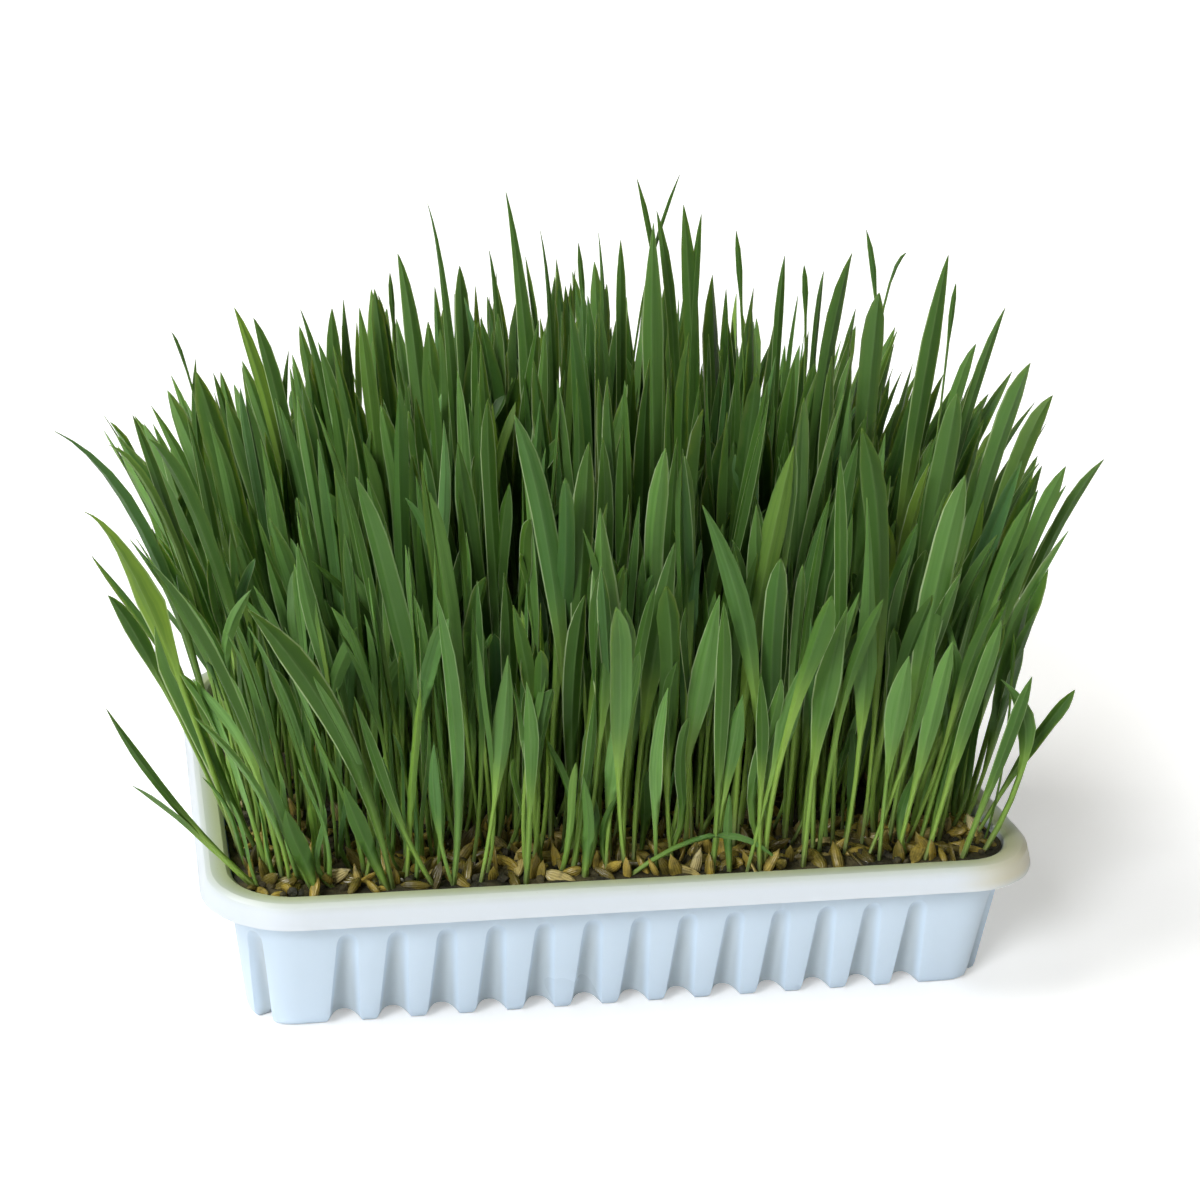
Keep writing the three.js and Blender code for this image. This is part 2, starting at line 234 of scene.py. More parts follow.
# %% Light
LAMPS = [  # name, the direction it shines from, strength, how many degrees wide it looks, colour
    ("key lamp", (-0.7, -0.72, 0.6), 1.95, 20, (0.97, 0.99, 1.02)),
    ("left lamp", (-0.9, 0.1, 1.0), 1.85, 35, (1.0, 1.0, 0.98)),
    ("fill lamp", (1.0, -0.7, 0.5), 0.15, 60, (1.0, 0.88, 0.62)),
    ("back lamp", (0.1, 0.7, 1.1), 0.2, 40, (1.0, 1.0, 1.0)),
]
WORLD_GLOW = 0.14

for name, direction, strength, width, colour in LAMPS:
    light = bpy.data.lights.new(name, "SUN")
    light.energy = strength
    light.angle = math.radians(width)
    light.color = colour
    lamp = bpy.data.objects.new(name, light)
    lamp.location = direction
    lamp.rotation_euler = (-Vector(direction)).to_track_quat("-Z", "Y").to_euler()
    bpy.context.scene.collection.objects.link(lamp)

world = bpy.data.worlds.new("studio")
world.use_nodes = True
tree = world.node_tree
join(tree, tree.nodes["Background"], {"Color": (1.0, 0.96, 0.84, 1), "Strength": WORLD_GLOW})
bpy.context.scene.world = world
bpy.context.scene.view_settings.view_transform = "Standard"
print("lamps:", [lamp[0] for lamp in LAMPS])

# %% [markdown]
# ## Patterns shared by the finishes
# Two small node groups are used again and again. *Mottle* is soft blotchy variation, for plastic, soil
# and leaves alike. *Fine lines* draws parallel lines across a strip, which are the veins of a leaf and the
# ribs of a husk. Each group puts out only masks and heights, and every material places it with its own
# values.

# %% Mottle and fine lines
FLOAT, VECTOR = "NodeSocketFloat", "NodeSocketVector"

mottle, start, end = new_group(
    "mottle",
    [("Place", VECTOR, None), ("Scale", FLOAT, 40.0), ("Detail", FLOAT, 4.0), ("Sharpness", FLOAT, 0.5)],
    [("Soft", FLOAT), ("Spots", FLOAT)],
)
place, scale, detail, sharpness = start.outputs[:4]
cloud = node(mottle, "ShaderNodeTexNoise", {"Vector": place, "Scale": scale, "Detail": detail})
spot = node(mottle, "ShaderNodeTexVoronoi", {"Vector": place, "Scale": times(mottle, scale, 2.2)})
near = times(mottle, sharpness, 0.6)
spots = rescale(mottle, spot.outputs["Distance"], (near, 0.05), (0.0, 1.0))
join(mottle, end, {"Soft": cloud.outputs["Fac"], "Spots": spots})

fine_lines, start, end = new_group(
    "fine lines",
    [("Across", FLOAT, 0.5), ("Count", FLOAT, 9.0), ("Unevenness", FLOAT, 0.0), ("Depth", FLOAT, 1.0)],
    [("Lines", FLOAT), ("Edge", FLOAT), ("Middle", FLOAT)],
)
across, count, unevenness, depth = start.outputs[:4]
turns = math_node(fine_lines, "ADD", times(fine_lines, across, count), unevenness)
wave = math_node(fine_lines, "SINE", times(fine_lines, turns, 2 * math.pi))
wave = math_node(fine_lines, "MULTIPLY_ADD", wave, 0.5, 0.5)
off_middle = math_node(fine_lines, "ABSOLUTE", math_node(fine_lines, "SUBTRACT", across, 0.5))
middle = math_node(fine_lines, "SUBTRACT", 1.0, smooth_step(fine_lines, off_middle, 0.02, 0.1))
edge = smooth_step(fine_lines, off_middle, 0.425, 0.465)
join(fine_lines, end, {"Lines": times(fine_lines, wave, depth), "Edge": edge, "Middle": middle})
print("node groups:", [group.name for group in bpy.data.node_groups])

# %% [markdown]
# ## The tray's plastic
# The tray is vacuum formed from thin white sheet. Such sheet is a little cloudy and takes a soft shine. Its
# walls look bluer than its rim. The flutes are greyed by painted shade, more the deeper they are, and the
# end that faces the lamps is a little darkened by painted shade, so that it does not burn out. The flange's
# inner edge and the inner wall above the bed get a painted green reflection of the leaves, and the front
# right corner is tinted yellow. Object coordinates drive all this, so each tint stays where it belongs on
# the tray.

# %% White sheet plastic
plastic, tree, shader = simple_material("white sheet plastic", (0.8, 0.88, 0.95), 0.34, {
    "Specular IOR Level": 0.5,
    "Subsurface Weight": 0.06,
    "Subsurface Radius": (0.9, 1.0, 1.1),
    "Subsurface Scale": 0.0015,
})
place = object_place(tree)
at = node(tree, "ShaderNodeSeparateXYZ", {0: place})
height = at.outputs["Z"]
cloudy = place_group(tree, mottle, {"Place": place, "Scale": 22.0, "Detail": 1.5})
speckle = place_group(tree, mottle, {"Place": place, "Scale": 260.0, "Sharpness": 0.3})
wall = blend_colours(tree, cloudy.outputs["Soft"], (0.635, 0.76, 0.895), (0.695, 0.825, 0.965))
rim = blend_colours(tree, cloudy.outputs["Soft"], (0.74, 0.805, 0.88), (0.81, 0.865, 0.925))
white = blend_colours(tree, smooth_step(tree, height, 26.5 * MM, 29.5 * MM), wall, rim)
print("finish:", plastic.name)

# %% Painted reflection and shade, a yellow corner and stains on the plastic
FLANGE_CORE, FLANGE_RADIUS = (75.1, 51.75), 14  # the inner edge is this far from a core rectangle
WALL_HEIGHTS, WALL_FROM_CORE = (28.9, 2.6), (14, 10.4)  # of the wall's top and of its foot
PAINTED_SHADE_DEPTHS = (0.3, 2.4)  # between these depths a flute's painted shade grows to its full share
YELLOW_FROM, YELLOW_TO = 140, 156  # x - y, so at the front right corner
LEFT_END = (-78, -92)  # the x where this end begins to darken, and where it is at its darkest

# How far a point stands out from the core rectangle tells the flange, the inside and the flutes apart.
beyond = node(tree, "ShaderNodeVectorMath", {0: place}, operation="ABSOLUTE").outputs[0]
core = (FLANGE_CORE[0] * MM, FLANGE_CORE[1] * MM, 1.0)
for operation, other in (("SUBTRACT", core), ("MAXIMUM", (0, 0, 0))):
    beyond = node(tree, "ShaderNodeVectorMath", {0: beyond, 1: other}, operation=operation).outputs[0]
from_core = node(tree, "ShaderNodeVectorMath", {0: beyond}, operation="LENGTH").outputs["Value"]
past_edge = math_node(tree, "SUBTRACT", from_core, FLANGE_RADIUS * MM)
on_top = smooth_step(tree, height, 31.8 * MM, 33.9 * MM)
near_soil = times(tree, smooth_step(tree, past_edge, 7 * MM, 0.5 * MM), on_top)
above_bed = times(tree, smooth_step(tree, height, 28 * MM, 30 * MM), 0.5)
inside = times(tree, smooth_step(tree, past_edge, 0.2 * MM, -1.0 * MM), above_bed)
near_soil = math_node(tree, "MAXIMUM", math_node(tree, "SUBTRACT", near_soil, inside), inside)
corner = math_node(tree, "SUBTRACT", at.outputs["X"], at.outputs["Y"])
# A yellow tint that grows towards the front right corner.
yellow_corner = smooth_step(tree, corner, YELLOW_FROM * MM, YELLOW_TO * MM)
yellow_corner = times(tree, yellow_corner, smooth_step(tree, height, 28 * MM, 31 * MM))
grime = smooth_step(tree, speckle.outputs["Spots"], 0.72, 0.9)
grime = times(tree, grime, times(tree, near_soil, 0.35))
heights, from_middle = ([v * MM for v in pair] for pair in (WALL_HEIGHTS, WALL_FROM_CORE))
# Painted shade: the flutes are greyed, more the deeper they are, below their arched tops.
painted_flute_shade = math_node(tree, "SUBTRACT", rescale(tree, height, heights, from_middle), from_core)
painted_flute_shade = times(tree, smooth_step(tree, painted_flute_shade, PAINTED_SHADE_DEPTHS[0] * MM, PAINTED_SHADE_DEPTHS[1] * MM), 0.6)
painted_flute_shade = times(tree, painted_flute_shade, smooth_step(tree, height, 25 * MM, 23 * MM))
painted_shade_left_end = smooth_step(tree, at.outputs["X"], LEFT_END[0] * MM, LEFT_END[1] * MM)
tints = [
    # Painted reflection: the leaves' green on the flange's inner edge and on the inner wall above the bed.
    (times(tree, near_soil, 0.85), (0.49, 0.54, 0.26)),
    (times(tree, yellow_corner, 0.75), (0.72, 0.66, 0.42)),
    (grime, (0.35, 0.27, 0.17)),
    (painted_flute_shade, (0.44, 0.48, 0.48)),
    # Painted shade darkens the end that faces the lamps.
    (times(tree, painted_shade_left_end, 0.14), (0.0, 0.0, 0.0)),  # the end that faces the lamps would burn out
]
white = paint(tree, white, tints)
shine = rescale(tree, cloudy.outputs["Soft"], (0, 1), (0.24, 0.34))
finish_surface(tree, shader, white, shine, cloudy.outputs["Soft"], 0.04, 0.0006)
print("tints on the plastic:", len(tints))

# %% [markdown]
# ## The tray
# A formed tray is one sheet: a flared skirt, a rounded rim, a flat flange, a wall pressed into upright
# flutes, a rounded foot and a base. It could be cut from a block, but the sheet is easier to get right as
# a loft: a ring of points goes once round the outline, and is extruded level by level. Every flute has
# eleven points of its own in each ring, so its sloping edges stay crisp at any height. Solidify then gives
# the sheet its thickness, and Bevel its small radii.

# %% The outline's stations
RIM_LENGTH, RIM_WIDTH, RIM_CORNER = 188.2, 141.5, 19
CORE_X, CORE_Y = RIM_LENGTH / 2 - RIM_CORNER, RIM_WIDTH / 2 - RIM_CORNER
LEAST_CORNER = 2  # radius a corner keeps where an inset uses up the outline's own
LEAST_MOUTH_RADIUS = 14  # keeps the corner flutes narrow enough for their stations not to cross
SHEET = 0.8
LONG_SIDE_FLUTES, LONG_SIDE_PITCH = 13, 10.8
SHORT_SIDE_FLUTES, SHORT_SIDE_PITCH = 9, 10.36
# A flute's section, from its lip to its middle, as shares of half its mouth and of its depth: a sharp lip,
# a flank, and a round floor.
FLUTE_SECTION = [(1, 0), (0.82, 0.32), (0.64, 0.62), (0.45, 0.84), (0.24, 0.96), (0, 1)]
FLUTE_POINTS = [(-w, d) for w, d in FLUTE_SECTION] + [(w, d) for w, d in reversed(FLUTE_SECTION[:-1])]
CORNER_ANGLES = [0, 9, 18, 26]  # degrees, up to the flute on the corner's diagonal


def side_stations(count, pitch):
    """Stations along one side: (place along it, share of a flute's half mouth, share of its depth)."""
    stations = []
    for i in range(count):
        middle = (i - (count - 1) / 2) * pitch
        stations.append((middle - pitch / 2, 0, 0))
        stations += [(middle, aside, deep) for aside, deep in FLUTE_POINTS]
    stations.append(((count / 2) * pitch, 0, 0))
    return stations


def outline_stations():
    """Every station round the tray: (quarter turn, on a corner or not, place or angle, aside, depth)."""
    ring = []
    for quarter in range(4):
        long_side = quarter % 2 == 0
        flutes = (LONG_SIDE_FLUTES, LONG_SIDE_PITCH) if long_side else (SHORT_SIDE_FLUTES, SHORT_SIDE_PITCH)
        ring += [(quarter, False, *station) for station in side_stations(*flutes)]
        ring += [(quarter, True, math.radians(a), 0, 0) for a in CORNER_ANGLES]
        ring += [(quarter, True, math.radians(45), aside, deep) for aside, deep in FLUTE_POINTS]
        ring += [(quarter, True, math.radians(90 - a), 0, 0) for a in reversed(CORNER_ANGLES)]
    return ring


def wall_point(core, outwards, inset, z):
    """A point at an inset from the outline: it stands outwards from a point of the core rectangle."""
    radius = max(RIM_CORNER - inset, LEAST_CORNER)
    pulled = max(inset - (RIM_CORNER - radius), 0)
    x = core[0] * (1 - pulled / CORE_X) + outwards[0] * radius
    y = core[1] * (1 - pulled / CORE_Y) + outwards[1] * radius
    return Vector((x, y, z)) * MM


STATIONS = outline_stations()
print("the outline has", len(STATIONS), "stations")

# %% The sheet's levels
# Each level gives (inset, height) on the ribs and in the middle of a flute, then half the width of its
# mouth. A flute widens and deepens downwards, and its top is a low arch.
TRAY_HEIGHT, SKIRT_DROP, SKIRT_FLARE = 34.3, 5.4, 1.25
WALL_TOP, WALL_FOOT = (5, 28.9), (8.6, 2.6)  # inset and height of the wall's outer face
FLUTE_TOP, FLUTE_FOOT = (7.6, 21.6), (12.4, 2.6)  # and of a flute's floor
MOUTH_TOP, MOUTH_FOOT = 2.3, 3.4
RUNOUT_START, RUNOUT_END = (7.2, 3.1), (22, 0)  # the channel under the base
ARCH_TOP, ARCH_FOOT = 23.9, 21.4


def between(start, end, z):
    """The inset at a height, on a straight line between two (inset, height) points."""
    return start[0] + (end[0] - start[0]) * (start[1] - z) / (start[1] - end[1])


def flute_level(z, floor_z=None):
    """A level of the fluted wall."""
    wall = between(WALL_TOP, WALL_FOOT, z)
    floor_z = z if floor_z is None else floor_z
    arch = min(max((ARCH_TOP - z) / (ARCH_TOP - ARCH_FOOT), 0), 1)
    depth = max(between(FLUTE_TOP, FLUTE_FOOT, floor_z) - wall, 0) * arch ** 0.5
    mouth = between((MOUTH_TOP, FLUTE_TOP[1]), (MOUTH_FOOT, FLUTE_FOOT[1]), z)
    mouth *= 0.35 + 0.65 * math.sqrt(1 - (1 - arch) ** 2)
    return (wall, z), (wall + depth, floor_z), mouth


def runout_level(rib, floor_inset, mouth):
    """A level under the base, where the ribs rest and each channel's ceiling slopes down to them."""
    ceiling = max(between(RUNOUT_START[::-1], RUNOUT_END[::-1], floor_inset), 0)
    return rib, (floor_inset, ceiling), mouth


def plain_level(inset, z):
    """A level with no flutes, whose stations still keep the flutes' places."""
    return (inset, z), (inset, z), MOUTH_TOP


underside = TRAY_HEIGHT - SHEET
FOOT_MIDDLE = WALL_FOOT[0] + WALL_FOOT[1]
foot = [  # (inset, height) round the foot's rounding
    (FOOT_MIDDLE - WALL_FOOT[1] * math.sin(math.radians(a)), WALL_FOOT[1] * (1 - math.cos(math.radians(a))))
    for a in (60, 30, 0)
]
LEVELS = [
    plain_level(SHEET - SKIRT_FLARE, TRAY_HEIGHT - SKIRT_DROP),
    plain_level(0.35, underside - 1.9),
    plain_level(0.75, underside - 0.5),
    plain_level(1.4, underside),
    plain_level(4.1, underside),
    plain_level(4.7, underside - 0.45),
    plain_level(between(WALL_TOP, WALL_FOOT, 31), 31),
    plain_level(between(WALL_TOP, WALL_FOOT, 27.5), 27.5),
    *[flute_level(z) for z in (24.2, 23.85, 23.6, 23.1, 22.4, 21.4, 17.5, 13.5, 10, 6.5, 4)],
    flute_level(WALL_FOOT[1], 3.0),
    runout_level(foot[0], 12.6, 3.6),
    runout_level(foot[1], 13.1, 3.95),
    runout_level(foot[2], 13.8, 4.4),
    runout_level((14.5, 0), 16, 4.2),
    runout_level((18, 0), 19, 3.2),
    runout_level(RUNOUT_END, RUNOUT_END[0], 2.4),
]


def station_point(station, level):
    """Where a station of the outline lies at a level."""
    quarter, on_corner, where, aside, deep = station
    rib, floor_point, mouth = level
    aside *= mouth
    inset = rib[0] + (floor_point[0] - rib[0]) * deep
    z = rib[1] + (floor_point[1] - rib[1]) * deep
    long_side = quarter % 2 == 0
    half, depth = (CORE_X, CORE_Y) if long_side else (CORE_Y, CORE_X)
    if on_corner:
        angle = where + aside / max(RIM_CORNER - rib[0], LEAST_MOUTH_RADIUS)
        core, outwards = (half, -depth), (math.sin(angle), -math.cos(angle))
    else:
        core, outwards = (where + aside, -depth), (0, -1)
    for _ in range(quarter):  # the first side is the front; each quarter turn leads to the next
        core, outwards = (-core[1], core[0]), (-outwards[1], outwards[0])
    return wall_point(core, outwards, inset, z)


print("the sheet has", len(LEVELS), "levels")

# %% Loft the sheet


def close_body(bm, edges):
    """Caps the last ring of edges, and smooths a body whose faces all look outwards."""
    bmesh.ops.contextual_create(bm, geom=edges)
    bmesh.ops.recalc_face_normals(bm, faces=bm.faces)
    for face in bm.faces:
        face.smooth = True


bm = bmesh.new()
station_of = bm.verts.layers.int.new("station")
ring = bmesh.ops.create_circle(bm, segments=len(STATIONS), radius=1)["verts"]
for i, vert in enumerate(ring):
    vert[station_of] = i
    vert.co = station_point(STATIONS[i], LEVELS[0])
edges = list(bm.edges)
for level in LEVELS[1:]:
    fresh, edges = extrude(bm, edges)
    for vert in fresh:
        vert.co = station_point(STATIONS[vert[station_of]], level)
close_body(bm, edges)
base = max(bm.faces, key=lambda face: len(face.verts))
if base.normal.z > 0:
    bmesh.ops.reverse_faces(bm, faces=bm.faces)
tray = object_from(bm, "formed_tray", plastic)
sheet = tray.modifiers.new("sheet", "SOLIDIFY")
sheet.thickness = SHEET * MM
sheet.offset = -1  # the faces are the sheet's underside, so it thickens to the other side
radii = tray.modifiers.new("radii", "BEVEL")
radii.width, radii.segments = 0.35 * MM, 2
radii.limit_method, radii.angle_limit = "ANGLE", math.radians(34)
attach(tray, "root")
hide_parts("tray")
print(tray.name, "has", len(tray.data.polygons), "faces before its thickness")

# %% [markdown]
# ## The soil
# The bed is potting soil: dark, damp, and full of crumbs. A flat top with a bump texture would look
# painted on between the stems, so the surface is real relief. A grid is pressed into the tray's rounded
# outline and lifted by fractal noise, its edge is extruded down along the wall so that the bed is a closed
# body, and loose crumbs are scattered on it. It lies a little higher along the front, where the kernels
# were spread against the rim.

# %% The surface of the bed
SOIL_TOP = 29
BED_INSET = 6.1
BED_CORNER = RIM_CORNER - BED_INSET
BED_X, BED_Y = RIM_LENGTH / 2 - BED_INSET, RIM_WIDTH / 2 - BED_INSET
SWELL, LUMP = 24, 6.5  # how wide the bed's swells and its lumps are
BANK_FROM, BANK_LENGTH, BANK_HEIGHT = -36, 26, 3.2  # it rises towards the front from this y on


def clamp(value, low=0.0, high=1.0):
    return min(max(value, low), high)


def soil_height(x, y):
    """Height of the soil's surface at a place on the bed."""
    broad = noise.noise(Vector((x / SWELL, y / SWELL, 3.1)))
    lumps = noise.fractal(Vector((x / LUMP, y / LUMP, 8.4)), 0.9, 2.1, 4)
    against_front = clamp((BANK_FROM - y) / BANK_LENGTH)
    level = SOIL_TOP + 1.0 + BANK_HEIGHT * against_front
    return level + 0.8 * broad + (1.1 - 0.4 * against_front) * lumps


print("the bed:", 2 * BED_X, "by", 2 * BED_Y, "mm, and", round(soil_height(0, -60), 1), "mm high in front")

# %% Soil finish
earth, tree, shader = simple_material("damp potting soil", (0.03, 0.02, 0.012), 0.9)
place = object_place(tree)
coarse = place_group(tree, mottle, {"Place": place, "Scale": 160.0, "Detail": 6.0})
fine = place_group(tree, mottle, {"Place": place, "Scale": 900.0, "Detail": 3.0, "Sharpness": 0.45})
dry = smooth_step(tree, coarse.outputs["Soft"], 0.35, 0.7)
brown = paint(tree, (0.015, 0.014, 0.006), [
    (dry, (0.085, 0.070, 0.024)),
    (times(tree, fine.outputs["Spots"], 0.4), (0.20, 0.16, 0.05)),
])
damp = rescale(tree, coarse.outputs["Soft"], (0.3, 0.7), (0.55, 0.95))
finish_surface(tree, shader, brown, damp, fine.outputs["Soft"], 0.8, 0.0008)

perlite, tree, shader = simple_material("white perlite", (0.75, 0.74, 0.70), 0.6)
pores = place_group(tree, mottle, {"Place": object_place(tree), "Scale": 1200.0})
chalk = blend_colours(tree, pores.outputs["Soft"], (0.45, 0.40, 0.32), (0.85, 0.85, 0.83))
join(tree, shader, {"Base Color": chalk})
print("finishes:", earth.name, "and", perlite.name)

# %% The bed
GRID_X, GRID_Y = 130, 96
BED_PROFILE = [  # inset and height of the rings that close it below
    (BED_INSET + 0.3, 27), (6.7, 24.7), (8.85, 21.9), (14.8, 4.2), (23.6, 1.1),
]


def core_and_way(x, y):
    """The nearest point of the core rectangle, and the way from there to a place on the bed."""
    core = Vector((clamp(x, -CORE_X, CORE_X), clamp(y, -CORE_Y, CORE_Y)))
    return core, Vector((x, y)) - core


bm = bmesh.new()
bmesh.ops.create_grid(bm, x_segments=GRID_X, y_segments=GRID_Y, size=1)
for vert in bm.verts:
    x, y = vert.co.x * BED_X, vert.co.y * BED_Y
    over_x, over_y = ((abs(v) - (b - BED_CORNER)) / BED_CORNER for v, b in ((x, BED_X), (y, BED_Y)))
    if over_x > 0 and over_y > 0:  # the square corner is drawn in to a round one
        drawn_in = max(over_x, over_y) / math.hypot(over_x, over_y)
        x = math.copysign(BED_X - BED_CORNER + over_x * drawn_in * BED_CORNER, x)
        y = math.copysign(BED_Y - BED_CORNER + over_y * drawn_in * BED_CORNER, y)
    vert.co = Vector((x, y, soil_height(x, y))) * MM
edges = [edge for edge in bm.edges if edge.is_boundary]
for inset, z in BED_PROFILE:
    fresh, edges = extrude(bm, edges)
    for vert in fresh:
        core, way = core_and_way(vert.co.x / MM, vert.co.y / MM)
        vert.co = wall_point(core, way.normalized(), inset, z)
close_body(bm, edges)
print("the bed is closed, with", len(bm.faces), "faces")

# %% Loose crumbs and perlite
CRUMBS, PERLITE = 1300, 80
rng = random.Random(5)


def room_to_wall(x, y):
    """How far a place on the bed is from the wall."""
    return BED_CORNER - core_and_way(x, y)[1].length


def bed_place(rng, clear=3.0):
    """A place on the bed, a little clear of the wall."""
    while True:
        x, y = rng.uniform(-BED_X, BED_X), rng.uniform(-BED_Y, BED_Y)
        if room_to_wall(x, y) > clear:
            return x, y


def add_crumb(bm, middle, radius, rng, material_index):
    """A small uneven lump."""
    lump = bmesh.ops.create_icosphere(bm, subdivisions=1, radius=radius * MM)["verts"]
    stretch = Matrix.Diagonal(Vector([rng.uniform(0.6, 1.25) for _ in range(3)]))
    turn = Euler([rng.uniform(0, 2 * math.pi) for _ in range(3)]).to_matrix()
    for vert in lump:
        vert.co = turn @ (stretch @ vert.co) * rng.uniform(0.8, 1.2) + Vector(middle) * MM
    for face in {face for vert in lump for face in vert.link_faces}:
        face.material_index = material_index
        face.smooth = False


def nearer_the_front(y):
    """The y of a place that is moved to the front half, where crumbs show."""
    return -abs(y) ** 0.5 * BED_Y ** 0.5


for i in range(CRUMBS):
    x, y = bed_place(rng)
    if i % 3 == 0:
        y = nearer_the_front(y) + 0.3
    radius = rng.uniform(0.5, 1.4)
    add_crumb(bm, (x, y, soil_height(x, y) + 0.3 * radius), radius, rng, 0)
for i in range(PERLITE):
    x, y = bed_place(rng)
    if i % 2 == 0:
        y = nearer_the_front(y) + 1
    radius = rng.uniform(0.3, 0.65)
    add_crumb(bm, (x, y, soil_height(x, y) + 0.6), radius, rng, 1)
RIM_CRUMBS = [  # x, y and radius of those that lie on the rim
    (-76.5, -64.6, 1.6), (-74.8, -65.3, 1.1), (-78.6, -65.0, 0.9), (58.5, -65.0, 1.5), (60.4, -65.6, 0.9),
]
for x, y, radius in RIM_CRUMBS:
    add_crumb(bm, (x, y, TRAY_HEIGHT + 0.2), radius, rng, 0)
soil = object_from(bm, "soil_bed", earth, perlite)
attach(soil, "root")
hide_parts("soil")
print(soil.name, "has", len(soil.data.polygons), "faces, with", CRUMBS, "crumbs and", PERLITE, "specks")

# %% [markdown]
# ## The kernels
# The seed lies on the soil still in its husk: golden, ribbed lengthwise, with a furrow along one side and
# a point at one end. One kernel is shaped from a sphere whose poles are its ends. It has only a few dozen
# faces, because hundreds of copies are laid on the bed, each turned, tipped and tinted a little
# differently. The tint goes into an attribute that the finish reads.

# %% Husk finish
husk, tree, shader = simple_material("ribbed golden husk", (0.4, 0.25, 0.09), 0.55)
wound = node(tree, "ShaderNodeUVMap", uv_map="husk").outputs["UV"]
parts = node(tree, "ShaderNodeSeparateXYZ", {0: wound})
tint = node(tree, "ShaderNodeAttribute", attribute_name="tint").outputs["Fac"]
cloudy = place_group(tree, mottle, {"Place": object_place(tree), "Scale": 420.0})
lines = {"Across": parts.outputs["X"], "Count": 12.0, "Unevenness": cloudy.outputs["Soft"]}
ribs = place_group(tree, fine_lines, lines)
gold = node(tree, "ShaderNodeValToRGB", {0: tint})
STOPS = [
    (0.0, (0.045, 0.042, 0.012)),
    (0.3, (0.23, 0.19, 0.035)),
    (0.65, (0.52, 0.385, 0.07)),
    (1.0, (0.70, 0.62, 0.32)),
]
ramp = gold.color_ramp
ramp.elements[0].position, ramp.elements[0].color = STOPS[0][0], (*STOPS[0][1], 1)
ramp.elements[1].position, ramp.elements[1].color = STOPS[-1][0], (*STOPS[-1][1], 1)
for position, colour in STOPS[1:-1]:
    ramp.elements.new(position).color = (*colour, 1)
soaked = smooth_step(tree, cloudy.outputs["Soft"], 0.44, 0.7)
base = paint(tree, gold.outputs["Color"], [
    (times(tree, ribs.outputs["Lines"], 0.35), (0.17, 0.10, 0.025)),
    (times(tree, soaked, 0.7), (0.075, 0.062, 0.016)),
])
dull = rescale(tree, cloudy.outputs["Soft"], (0, 1), (0.12, 0.45))
finish_surface(tree, shader, base, dull, ribs.outputs["Lines"], 0.5, 0.0002)
print("finish:", husk.name)

# %% One kernel
KERNEL_LENGTH, KERNEL_WIDTH, KERNEL_HEIGHT = 8.6, 3.6, 2.9
AWN = 0.9  # how far the husk's point runs on past the grain
FURROW_DEPTH = 0.42  # as a share of half its height
POLE = 0.999  # a share of the sphere's radius that only its two poles pass

bm = bmesh.new()
winding = bm.loops.layers.uv.new("husk")
bmesh.ops.create_uvsphere(bm, u_segments=8, v_segments=8, radius=1)
for vert in bm.verts:
    along = vert.co.z
    angle = math.atan2(vert.co.y, vert.co.x) + math.pi / 2
    full = (1 - abs(along) ** 2.5) ** 0.6 * (1 - 0.2 * along) if abs(along) < POLE else 0
    furrow = FURROW_DEPTH * max(math.sin(angle), 0) ** 6
    vert.co = Vector((
        along * KERNEL_LENGTH / 2 + (AWN if along > POLE else 0),
        math.cos(angle) * full * KERNEL_WIDTH / 2,
        math.sin(angle) * full * (1 - furrow) * KERNEL_HEIGHT / 2,
    )) * MM
for face in bm.faces:
    face.smooth = True
    centre = face.calc_center_median()
    turned_by = math.atan2(centre.z, centre.y) / (2 * math.pi)
    for loop in face.loops:
        at = math.atan2(loop.vert.co.z, loop.vert.co.y) / (2 * math.pi)
        at += round(turned_by - at) if loop.vert.co.yz.length > 1e-6 else turned_by - at
        loop[winding].uv = (at, loop.vert.co.x / (KERNEL_LENGTH * MM) + 0.5)
bmesh.ops.recalc_face_normals(bm, faces=bm.faces)
kernel_blank = bpy.data.meshes.new("kernel blank")
bm.to_mesh(kernel_blank)
bm.free()
print("one kernel has", len(kernel_blank.polygons), "faces")


def lay_kernel(bm, x, y, z, heading, tip, size, tint, full=1.0):
    """Adds a kernel: heading turns it, tip lifts its point, and an empty husk is less than full."""
    bm.from_mesh(kernel_blank)
    tint_of = bm.verts.layers.float.get("tint") or bm.verts.layers.float.new("tint")
    bm.verts.ensure_lookup_table()
    turn = Matrix.Translation(Vector((x, y, z)) * MM)
    for angle, axis in ((heading, "Z"), (-tip, "Y"), (tint * 9, "X")):
        turn = turn @ Matrix.Rotation(angle, 4, axis)
    turn = turn @ Matrix.Diagonal((size, size, size * full, 1))
    for vert in bm.verts[-len(kernel_blank.vertices):]:
        vert.co = turn @ vert.co
        vert[tint_of] = tint


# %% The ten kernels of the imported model
rng = random.Random(11)
for number in range(1, 11):
    low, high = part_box(f"kernel_{number}")
    middle = (low + high) / 2 / MM
    heading = math.atan2(high.y - low.y - KERNEL_WIDTH * MM, high.x - low.x)
    bm = bmesh.new()
    tip, size, tint = rng.uniform(-0.15, 0.25), rng.uniform(0.92, 1.04), rng.uniform(0.35, 0.95)
    lay_kernel(bm, *middle, heading, tip, size, tint)
    kernel = object_from(bm, f"sown_kernel_{number}", husk)
    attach(kernel, "root")
    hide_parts(f"kernel_{number}")
print("ten kernels stand for those of the imported model")

